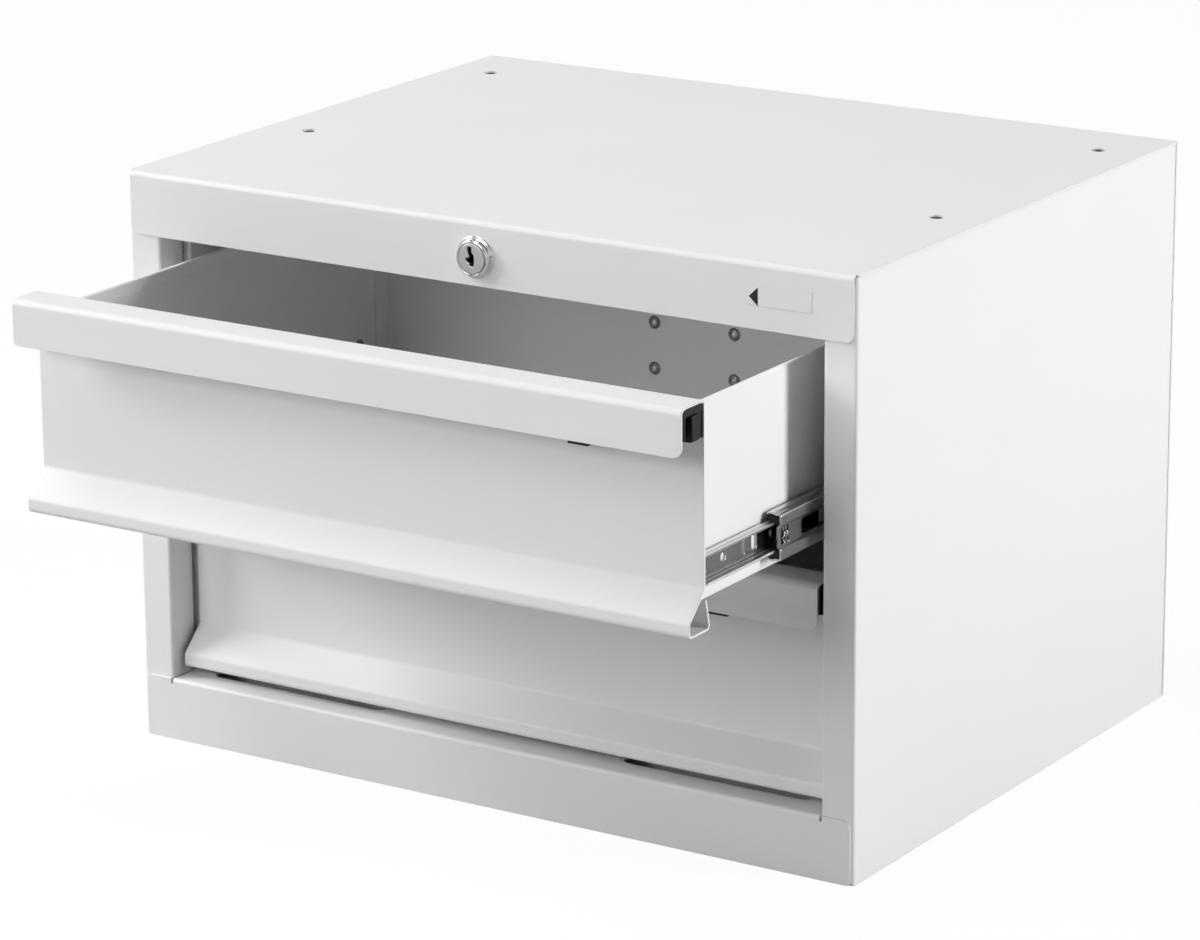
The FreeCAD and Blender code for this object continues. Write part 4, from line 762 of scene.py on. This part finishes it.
@dataclass
class Piece:
    """Gathers closed shells in millimetres and makes them one finished object.

    The shells' own origin is at a place on the right-hand side, and its mirror image on the left.
    """

    name: str
    at: Triple = (0.0, 0.0, 0.0)
    side: Side = Side.RIGHT
    points: list[np.ndarray] = field(default_factory=list)
    faces: list[list[int]] = field(default_factory=list)
    marks: list[np.ndarray] = field(default_factory=list)
    count: int = 0

    def add(self, shape: Mesh, turn: str = "xyz", mark: np.ndarray | float = 0.0) -> None:
        """Adds one shell, mirrored if the piece's side is the left one.

        Args:
            shape: Points and faces.
            turn: Which of the cabinet's axes each of the shape's own axes lies along.
            mark: A number for each point, which the finish may read, for real tones and for painted
                highlights and shade.
        """
        points, faces = shape
        points = points[:, [turn.index(axis) for axis in "xyz"]] + self.at
        self.points.append(points * (self.side.value, 1, 1))
        self.faces += [[corner + self.count for corner in face] for face in faces]
        self.marks.append(np.broadcast_to(np.asarray(mark, float), len(points)))
        self.count += len(points)

    def finish(self, body: str, slot: Slot, *nodes: str, smooth: float = 32.0) -> None:
        """Makes the object, merges its doubled points, turns its faces outward and dresses it.

        Faces that look straight along an axis are flat, so that the rounded edges beside them don't
        tint them.

        Args:
            body: The body that it rides on.
            slot: The record's slot for its finish.
            nodes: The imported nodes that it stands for.
            smooth: Edges that turn more than this many degrees stay sharp.
        """
        mesh = bpy.data.meshes.new(self.name)
        mesh.from_pydata((np.concatenate(self.points) * MM).tolist(), [], self.faces)
        # Each point's mark: real tones, painted highlights on the slides and painted shade in the
        # keyway.
        polish = mesh.attributes.new("polish", "FLOAT", "POINT")
        polish.data.foreach_set("value", np.concatenate(self.marks))
        shell = bmesh.new()
        shell.from_mesh(mesh)
        bmesh.ops.remove_doubles(shell, verts=shell.verts, dist=1e-7)
        bmesh.ops.recalc_face_normals(shell, faces=shell.faces)
        shell.to_mesh(mesh)
        shell.free()
        mesh.shade_smooth()
        mesh.set_sharp_from_angle(angle=math.radians(smooth))
        normals = np.empty(3 * len(mesh.polygons))
        mesh.polygons.foreach_get("normal", normals)
        level = np.abs(normals.reshape(-1, 3)).max(axis=1) > 0.999999
        mesh.polygons.foreach_set("use_smooth", ~level)
        piece = shown(self.name, mesh)
        wear(piece, slot)
        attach(piece, body)
        if nodes:
            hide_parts(*nodes)
        log.info("%s: %d faces, rides %s", self.name, len(mesh.polygons), body)


# Sub-assemblies


@dataclass
class Slides:
    """The ball-bearing slides between the drawers and the posts, member by member.

    Sections are in millimetres: the first number is out from the drawer's side, the second up from
    the slide's middle line.
    """

    drawer_side: float = 194.0
    length: float = 304.8
    steel: float = 1.2
    web_half: float = 5.0
    edge: float = 0.22
    cut: float = 0.35
    pitch: float = 15.0
    balls: int = 8
    ball_radius: float = 1.7
    cage_steel: float = 0.55
    pocket: float = 1.95
    pocket_wire: float = 0.34
    # The mark's strength away from the painted highlight lines on the flanges.
    dull: float = 0.12

    def build(self) -> None:
        """Makes the members of all four slides, then the liners and cages of each level."""
        for level in LEVELS:
            for side in Side:
                for name, body, shells in (
                    ("inner", f"{level}_drawer", self.inner),
                    ("middle", f"{level}_middle_slides", self.middle),
                    ("outer", "cabinet", self.outer),
                ):
                    node = f"{level}_{side.name.lower()}_{name}_slide"
                    piece = self.start(node, node)
                    piece.side = side
                    shells(piece)
                    piece.finish(body, Slot.SLIDE, node)
            self.liners(level)
            arms_and_web = [(2.4, 9.85), (8.4, 9.85), (8.4, 7.4), (6.65, 5.65)]
            self.cages(level, "inner", mirrored(arms_and_web, [0, 0.7, 0.8, 0.8]), (5.0, 9.85))
            arms = [(3.4, 14.55), (10.85, 14.55)]
            self.cages(level, "outer", mirrored(arms, [0, 1.0]), (6.0, 14.55))

    def start(self, name: str, origin: str) -> Piece:
        """A piece with its origin on the drawer's side, at a node's front end and middle height."""
        low, _, middle = span(origin)
        return Piece(f"{name}_formed", (self.drawer_side, low[1], middle[2]))

    def formed(self, piece: Piece, web: list, out: float, line: np.ndarray, *ridges: float) -> None:
        """Adds a pierced web with a bent flange above and below.

        Args:
            piece: The member.
            web: The outlines of the web's openings.
            out: How far out the web's middle lies.
            line: The upper flange's middle line.
            ridges: Two heights, between which a painted highlight grows from dull to its full
                strength, and that strength. Inside, a sheet's thickness below, it grows more
                quickly.
        """
        rim = window(0.0, self.length, self.web_half, 0.4)
        piece.add(plate([rim, *web], self.steel / 2, self.edge, out), "yzx")
        # The marks paint highlight lines on each flange: a narrow bright band a sheet's thickness
        # below the first height, and the crest above the second. Points within 2 mm of the drawer's
        # side keep the dull strength.
        low, high, painted_highlight = ridges
        inside = low - self.steel
        strengths = (self.dull, painted_highlight, painted_highlight, self.dull, painted_highlight)
        heights = (inside, inside + 0.25, inside + 0.45, low, high)
        for up in (1, -1):
            shape = section(sheet_outline(line * (1, up), self.steel), self.length, self.cut)
            mark = np.interp(np.abs(shape[0][:, 2]), heights, strengths)
            piece.add(shape, mark=np.where(shape[0][:, 0] > 2.0, mark, self.dull))

    def inner(self, piece: Piece) -> None:
        """The member on the drawer: a web with its holes, and grooved flanges."""
        web = [
            circle(2.25, (5.5, -1.5)), circle(2.5, (24.5, 0.0)),
            window(42.3, 44.7, 4.3, 1.1), window(51.5, 56.5, 4.4, 2.3),
        ]
        flange = [
            (0.6, 4.75), (0.6, 7.5), (2.6, 7.45), (3.8, 7.55), (5.0, 7.15), (6.2, 7.55),
            (6.95, 7.35),
        ]
        line = arc_corners(flange, [0, 1.2, 1.0, 0.9, 0.9, 0.9, 0], steps=4)
        self.formed(piece, web, self.steel / 2, line, 7.75, 8.10, 0.95)

    def middle(self, piece: Piece) -> None:
        """The member between: a web with windows, rolled edges for both races, and a clip."""
        web = [window(3.0, 10.5, 4.3, 0.9)]
        web += [window(start, start + 61.0, 4.1, 2.0) for start in (23.0, 120.0, 217.0)]
        flange = [
            (8.0, 4.75), (8.0, 5.3), (9.6, 6.5), (9.6, 12.2), (8.3, 11.75), (7.2, 11.75),
            (5.2, 12.2), (3.1, 12.3), (1.7, 11.6),
        ]
        line = arc_corners(flange, [0, 0.7, 0.8, 0.78, 0.8, 0.8, 1.5, 1.2, 0], steps=4)
        self.formed(piece, web, 8.0, line, 12.35, 12.85, 0.75)
        climb = np.linspace(-4.1, 4.1, 33)
        for place, phase in ((5.3, 0.0), (8.0, 0.4)):
            turn = climb * 1.25 + phase
            path = [8.55 + 0.35 * np.cos(turn), place + 0.8 * np.sin(turn), climb]
            piece.add(ribbon(np.stack(path, axis=1), 1.1, 0.45), mark=1.0)

    def outer(self, piece: Piece) -> None:
        """The member on the posts: one bent channel, its edges turned in over the balls."""
        half = [
            (2.7, 16.05), (3.3, 16.9), (5.2, 16.75), (6.0, 16.95), (6.8, 16.75), (8.6, 16.9),
            (12.1, 16.9),
        ]
        line = mirrored(half, [0, 0.6, 1.0, 1.0, 1.0, 1.0, 1.4])
        # A mark of 0.4 lifts the whole member's colour part way to the bright tone.
        piece.add(section(sheet_outline(line, self.steel), self.length, self.cut), mark=0.4)

    def liners(self, level: str) -> None:
        """The black end pieces in the front of both middle members, each with a ribbed clip."""
        node = f"{level}_middle_bumpers"
        piece = self.start(node, f"{level}_right_middle_slide")
        shell = [
            (2.4, 8.6), (2.4, 11.0), (3.2, 11.45), (5.2, 11.4), (7.2, 10.95), (8.9, 10.95),
            (8.9, 6.9), (7.3, 6.9), (7.3, 8.6),
        ]
        radii = [0.4, 0.5, 0.5, 1, 1, 0.5, 0.5, 0.4, 0.4]
        outline = arc_corners(shell, radii, closed=True, steps=3)
        block, faces = plate([window(-2.6, 2.6, 0.35, 0.2)], 0.75, 0.12)
        rib = block[:, [2, 0, 1]], faces
        ribs = np.array([(7.95, 6.6, height) for height in np.linspace(-3.6, 3.6, 6)])
        for side in Side:
            piece.side = side
            for up in (1, -1):
                piece.add(section(outline * (1, up), 3.0))
            piece.add(plate([window(1.5, 11.4, 4.9, 0.8)], 0.16, 0.05, 7.22), "yzx")
            piece.add(scattered(rib, ribs))
        piece.finish(f"{level}_middle_slides", Slot.PLASTIC, node)

    def cages(self, level: str, race: str, line: np.ndarray, seat: tuple[float, float]) -> None:
        """One race's cages and balls on both sides of a level.

        Args:
            level: upper or lower.
            race: inner or outer.
            line: The cage's bent middle line.
            seat: Where the balls run: out from the drawer's side, and up from the middle line.
        """
        node = f"{level}_{race}_ball_cages"
        piece = self.start(node, node)
        low, high, _ = span(node)
        run = high[1] - low[1]
        first = (run - (self.balls - 1) * self.pitch) / 2
        spots = first + self.pitch * np.arange(self.balls)
        for side in Side:
            piece.side = side
            piece.add(section(sheet_outline(line, self.cage_steel), run, 0.2))
            for up in (1, -1):
                places = np.array([(seat[0], spot, up * seat[1]) for spot in spots])
                piece.add(scattered(ball(self.ball_radius), places))
                ring = hoop(self.pocket, self.pocket_wire)
                piece.add(scattered(ring, places + (0, 0, up * 0.25)))
        piece.finish(f"{level}_{race}_cages", Slot.CAGE, node)


@dataclass
class Rivets:
    """Blind rivets: domed heads with the broken mandrel in the middle, and upset tails.

    Profiles are rows of radius and place out from the seat; a head's third number is its mark.
    """

    places: Triple = (72.0, 166.0, 260.3)
    posts: tuple[float, float] = (-132.25, 131.75)
    tray_face: float = 193.0
    slide_web: float = 195.2
    post_face: float = 207.9
    web: float = 1.2
    catch_out: float = 26.0
    catch_up: float = 13.25
    catch_head: float = 3.7
    steps: int = 20

    HEAD = np.array([
        (0, -0.1, 0), (3.75, -0.1, 0), (3.8, 0.25, 0), (3.3, 0.9, 0), (2.6, 1.3, 0), (2.05, 1.4, 0),
        (1.75, 1.15, 0.35), (1.6, 0.35, 0.35), (1.15, 0.35, 1), (1.0, 0.9, 1), (0.7, 1.05, 1),
        (0, 1.1, 1),
    ])
    TAIL = np.array([
        (0, -0.1), (3.25, -0.1), (3.3, 0.3), (2.9, 0.85), (2.1, 1.15), (1.2, 1.2), (0.8, 0.9),
        (0, 0.85),
    ])
    FLUSH = np.array([
        (0, -0.1), (2.5, -0.1), (2.5, 0.06), (2.3, 0.14), (0.9, 0.14), (0.6, 0.05), (0, 0.04),
    ])

    def build(self) -> None:
        """Makes the rivets of both drawers, then those in the posts."""
        for level in LEVELS:
            self.drawer(level)
        self.post()

    def rivet(
        self, piece: Piece, axis: str, way: int, head: Triple, end: Triple, far: np.ndarray
    ) -> None:
        """Sets one rivet.

        Args:
            piece: The piece that gathers them.
            axis: x or y, along which it lies.
            way: 1 if the head stands out towards greater numbers, -1 if towards smaller ones.
            head: The middle of the head's seat.
            end: The middle of the far end's seat.
            far: The far end's profile.
        """
        shell = turned(self.HEAD[:, :2] * (1, way), head, axis, self.steps)
        piece.add(shell, mark=np.tile(self.HEAD[:, 2], self.steps))
        piece.add(turned(far * (1, -way), end, axis, self.steps))

    def drawer(self, level: str) -> None:
        """The six rivets through a drawer's sides and the four through its back."""
        node = f"{level}_drawer_rivets"
        piece = Piece(f"{node}_set")
        low, _, middle = span(f"{level}_right_inner_slide")
        outs = (self.tray_face, self.slide_web)
        for place in self.places:
            for side in (-1, 1):
                seats = [(side * out, low[1] + place, middle[2]) for out in outs]
                self.rivet(piece, "x", -side, *seats, self.TAIL)
        back = span(node)[1][1]
        catch = span(f"{level}_catch_bracket")[2]
        for across in (-self.catch_out, self.catch_out):
            for up in (-self.catch_up, self.catch_up):
                spot = catch + (across, 0, up)
                seats = [(spot[0], back - deep, spot[2]) for deep in (self.catch_head, self.web)]
                self.rivet(piece, "y", -1, *seats, self.TAIL)
        piece.finish(f"{level}_drawer", Slot.RIVET, node)

    def post(self) -> None:
        """The rivets that hold the outer members on the posts, pressed flat where the cages run."""
        node = "post_slide_rivets"
        piece = Piece(f"{node}_set")
        for level in LEVELS:
            _, high, middle = span(f"{level}_right_outer_slide")
            outs = (self.post_face, high[0] - self.web)
            for place in self.posts:
                for side in (-1, 1):
                    seats = [(side * out, place, middle[2]) for out in outs]
                    self.rivet(piece, "x", side, *seats, self.FLUSH)
        piece.finish("cabinet", Slot.RIVET, node)


@dataclass
class LockFace:
    """The face of the lock: a flanged housing with a raised collar, and the plug in it.

    Places along the lock are in millimetres forward of the fascia's face, which is at face.
    """

    face: float = -177.8
    height: float = 304.35
    barrel: float = 9.5
    bore: float = 6.05
    flange: float = 11.55
    collar: float = 9.8
    well: float = 8.45
    head: float = 8.15
    shank: float = 6.0
    steps: int = 72

    def build(self) -> None:
        """Makes the housing, then the plug."""
        self.housing()
        self.plug()

    def housing(self) -> None:
        """The still part: barrel, flange, cove and collar, as one closed turned profile."""
        corners = [
            (self.bore, -21.0), (self.barrel, -21.0), (self.barrel, -0.02), (self.flange, -0.02),
            (self.flange, 1.25), (self.collar, 1.25), (self.collar, 4.2), (self.well, 4.2),
            (self.well, 1.25), (self.bore, 1.25),
        ]
        radii = [0.3, 0.4, 0.0, 0.1, 0.75, 0.35, 0.75, 0.35, 0.3, 0.2]
        profile = arc_corners(corners, radii, closed=True) * (1, -1)
        piece = Piece("lock_housing_face", (0.0, self.face, self.height))
        piece.add(turned(profile, (0, 0, 0), "y", self.steps))
        piece.finish("cabinet", Slot.CHROME, "lock_housing", smooth=40.0)

    def plug(self) -> None:
        """The turning part: a flat head and a shank, both pierced by the keyway to its depth."""
        corners = [
            (-2.4, 6.3), (0.1, 6.3), (0.1, 3.6), (1.3, 2.0), (1.6, 0.4), (1.6, -2.2), (1.1, -4.0),
            (-1.2, -4.0), (-1.3, -1.9), (-2.0, -2.4), (-3.3, -1.2), (-3.4, 0.2), (-2.2, 0.5),
            (-1.5, 0.2), (-1.5, 1.6), (-2.2, 3.4),
        ]
        keyway = arc_corners(corners, 0.2, closed=True, steps=3)
        piece = Piece("lock_plug_face", (0.0, self.face, self.height))
        head = circle(self.head, count=self.steps)
        piece.add(plate([head, keyway], 1.5, 0.3, -3.0), "xzy", mark=0.5)
        # A mark of 1 makes the keyway's walls through the shank, and the core behind it, near
        # black: painted shade.
        piece.add(plate([circle(self.shank, count=48), keyway], 2.2, 0.02, 0.6), "xzy", mark=1.0)
        rim = self.shank - 0.05
        core = np.array([(0, 2.7), (rim, 2.7), (rim, 30.8), (5.7, 31.0), (0, 31.0)])
        piece.add(turned(core, (0, 0, 0), "y", 48), mark=1.0)
        piece.finish("lock_plug", Slot.CHROME, "lock_plug")


@dataclass
class LatchEnds:
    """The black moulded ends of the finger latches: the bar with its nose, and the cap round it."""

    edge: float = 0.45
    strip_front: float = 2.5
    strip_thickness: float = 3.0
    nose_length: float = 21.0
    nose_wall: float = 6.4
    gap: float = 0.3
    cap_wall: float = 1.5
    cap_roof: float = 4.0
    cap_step: float = 0.55
    cap_rim: float = 18.0
    block_half: float = 1.5
    block_depth: float = 2.6

    def build(self) -> None:
        """Makes both levels' bars and caps."""
        for level in LEVELS:
            self.bar(level)
            self.cap(level)

    def bar(self, level: str) -> None:
        """The bar: a long thin strip that thickens into a nose, its lower corner the roundest."""
        node = f"{level}_latch_bar"
        low, high, middle = span(node)
        piece = Piece(f"{node}_moulded")
        start, bottom, top = high[0] - self.nose_length, low[2], high[2]
        nose = rectangle((start, bottom), (high[0], top), [0.5, 1.6, 0.8, 0.5], 4)
        root = rectangle((start + 0.1, bottom + 0.1), (start + 5, top - 0.1), 0.5, 3)
        strip = rectangle((low[0], bottom), (start + 4, top), [1.5, 0.3, 0.3, 1.5], 4)
        half, thin = self.nose_wall / 2, self.strip_thickness / 2
        for outline, thick, bevel, place in (
            (nose, half, self.edge, high[1] - half),
            (root, middle[1] - low[1] - 0.1, self.edge, middle[1]),
            (strip, thin, 0.3, low[1] + self.strip_front + thin),
        ):
            piece.add(plate([outline], thick, bevel, place), "xzy")
        piece.finish(f"{level}_latch", Slot.PLASTIC, node)

    def cap(self, level: str) -> None:
        """The cap: a block that fills the hood's end, bent to its corners, pierced for the nose."""
        node = f"{level}_latch_end_cap"
        low, high, _ = span(node)
        nose_low, nose_high, _ = span(f"{level}_latch_bar")
        piece = Piece(f"{node}_moulded")
        front, bottom, roof = low[1], low[2], high[2] - self.cap_roof
        rear = nose_high[1] + self.gap
        for start, end, back, top, soft, wall in (
            (low[0], high[0] - self.cap_step, high[1], high[2] - self.cap_step, 0.3, rear),
            (high[0] - 0.65, high[0], front + self.cap_rim, high[2], 0.22, front + 17.0),
        ):
            inside = front + self.cap_wall
            corners = [
                (front, bottom), (inside, bottom), (inside, roof), (wall, roof),
                (wall, nose_low[2]), (back, nose_low[2]), (back, top), (front, top),
            ]
            hood = arc_corners(corners, [0.4, 0.4, 1.2, 0.4, 0.3, 0.3, 2.0, 3.4], closed=True)
            piece.add(plate([hood], (end - start) / 2, soft, (start + end) / 2), "yzx")
        before_nose = nose_high[1] - self.nose_wall - self.gap
        block = rectangle((front + 0.2, bottom + 0.2), (before_nose, roof + 0.5), 0.3, 3)
        middle = high[0] - self.block_depth - self.block_half
        piece.add(plate([block], self.block_half, 0.2, middle), "yzx")
        piece.finish(f"{level}_drawer", Slot.PLASTIC, node)


@dataclass
class ArrowLabel:
    """The small film on the fascia that points to the lock: plain but for a black triangle."""

    face: float = -177.8
    low: tuple[float, float] = (164.6, 301.1)
    high: tuple[float, float] = (203.0, 312.0)
    tip: tuple[float, float] = (166.0, 305.8)
    base: float = 171.3
    rise: float = 4.9

    def build(self) -> None:
        """Makes the film and the triangle that is printed on it."""
        across, up = self.tip
        corners = [self.tip, (self.base, up - self.rise), (self.base, up + self.rise)]
        arrow = arc_corners(corners, 0.1, closed=True, steps=2)
        for name, outline, half, bevel, middle, slot in (
            ("film", rectangle(self.low, self.high, 0.4, 3), 0.06, 0.01, -0.04, Slot.CABINET),
            ("pointer", arrow, 0.03, 0.005, -0.11, Slot.PLASTIC),
        ):
            piece = Piece(f"arrow_label_{name}", (0.0, self.face, 0.0))
            piece.add(plate([outline], half, bevel, middle), "xzy")
            piece.finish("cabinet", slot)


@dataclass
class Studio:
    """Camera, lamps, floor and sky."""

    camera_at: Triple = (1.4251, -2.2681, 0.9347)
    camera_yaw: float = 32.839
    camera_pitch: float = 16.443
    camera_roll: float = -0.439
    lens: float = 149.97
    sky: float = 0.10
    floor_half: float = 30.0
    floor_glow: float = 0.95
    lamp_height: float = 1.6
    aim: Triple = (0.0, -0.1, 0.15)

    def build(self) -> None:
        """Makes the whole studio and sets how colours are shown."""
        bpy.context.scene.view_settings.view_transform = "Standard"
        self.camera()
        self.world()
        self.floor()
        self.lamps()

    def camera(self) -> None:
        """The photograph's camera: yawed to the left, pitched down and very slightly rolled."""
        data = bpy.data.cameras.new("camera")
        data.lens = self.lens
        data.sensor_width = 36.0
        data.sensor_fit = "HORIZONTAL"
        data.clip_start = 0.05
        data.clip_end = 100.0
        camera = shown("camera", data)
        turns = ((self.camera_yaw, "Z"), (90 - self.camera_pitch, "X"), (self.camera_roll, "Z"))
        yaw, pitch, roll = (Matrix.Rotation(math.radians(angle), 4, axis) for angle, axis in turns)
        camera.matrix_world = Matrix.Translation(self.camera_at) @ (yaw @ pitch @ roll)
        bpy.context.scene.camera = camera

    def world(self) -> None:
        """A studio's surroundings: plain white to the camera, and weak as light.

        In reflections the walls are white up to a third of the way, and the ceiling is dark.
        """
        world = bpy.data.worlds.new("studio")
        bpy.context.scene.world = world
        nodes = NodeTree.emptied(world)
        rays = nodes.add("LightPath").outputs
        seen = nodes.math("MAXIMUM", rays["Is Camera Ray"], rays["Is Transmission Ray"])
        way = nodes.add("SeparateXYZ", Vector=nodes.add("TexCoord").outputs["Generated"]).outputs
        dimmed = nodes.ramp(way["X"], -0.2, 0.6, self.sky, self.sky * 0.3)
        walls = nodes.ramp(way["Z"], 0.22, 0.5, 0.9, 0.08)
        light, glossy, white = (
            nodes.add("Background", Color=WHITE, Strength=strength).outputs[0]
            for strength in (dimmed, walls, 1.0)
        )
        soft = nodes.add("MixShader", in0=rays["Is Glossy Ray"], in1=light, in2=glossy)
        mixed = nodes.add("MixShader", in0=seen, in1=soft.outputs[0], in2=white)
        nodes.add("OutputWorld", Surface=mixed.outputs[0])

    def floor(self) -> None:
        """A wide pale floor that is white to the camera and keeps the cabinet's shadow."""
        corners = np.array([(-1, -1, 0), (1, -1, 0), (1, 1, 0), (-1, 1, 0)]) * self.floor_half
        mesh = bpy.data.meshes.new("floor")
        mesh.from_pydata(corners.tolist(), [], [(0, 1, 2, 3)])
        floor = shown("floor", mesh)
        material = bpy.data.materials.new("floor_white")
        nodes = NodeTree.emptied(material)
        camera = nodes.add("LightPath").outputs["Is Camera Ray"]
        tone = nodes.blend(camera, (0.46, 0.46, 0.46), (0.95, 0.95, 0.95))
        matt = nodes.add("BsdfDiffuse", Color=tone).outputs[0]
        glow = nodes.add("Emission", Color=WHITE, Strength=1.0).outputs[0]
        seen = nodes.math("MULTIPLY", camera, self.floor_glow)
        mixed = nodes.add("MixShader", in0=seen, in1=matt, in2=glow)
        nodes.add("OutputMaterial", Surface=mixed.outputs[0])
        mesh.materials.append(material)

    def lamps(self) -> None:
        """Large soft lamps that the camera doesn't see.

        A key hangs at the left, then come a high one, a weak one in front and a narrow one at the
        right.
        """
        for name, at, width, power in (
            ("key", (-3.14, -1.56, 2.15), 1.6, 94.0),
            ("high", (-0.90, -0.62, 4.01), 1.6, 58.0),
            ("front", (-0.96, -3.68, 1.65), 1.6, 49.0),
            ("side", (3.16, 0.80, 1.03), 0.45, 92.0),
        ):
            data = bpy.data.lights.new(name, "AREA")
            data.shape = "RECTANGLE"
            data.size, data.size_y = width, self.lamp_height
            data.energy = power
            lamp = shown(name, data)
            turn = (Vector(self.aim) - Vector(at)).to_track_quat("-Z", "Y")
            lamp.matrix_world = Matrix.Translation(at) @ turn.to_matrix().to_4x4()
            lamp.visible_camera = False


def main() -> None:
    """Builds the scene, sub-assembly by sub-assembly."""
    logging.basicConfig(level=logging.INFO, format="%(name)s: %(message)s")
    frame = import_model()
    Studio().build()
    for effect in (powder_skin, soft_edges, mottle, drawn_lines, spangle, turned_rings):
        effect()
    dress_packed(frame)
    for assembly in (Slides, Rivets, LockFace, LatchEnds, ArrowLabel):
        assembly().build()


if __name__ == "__main__":
    main()
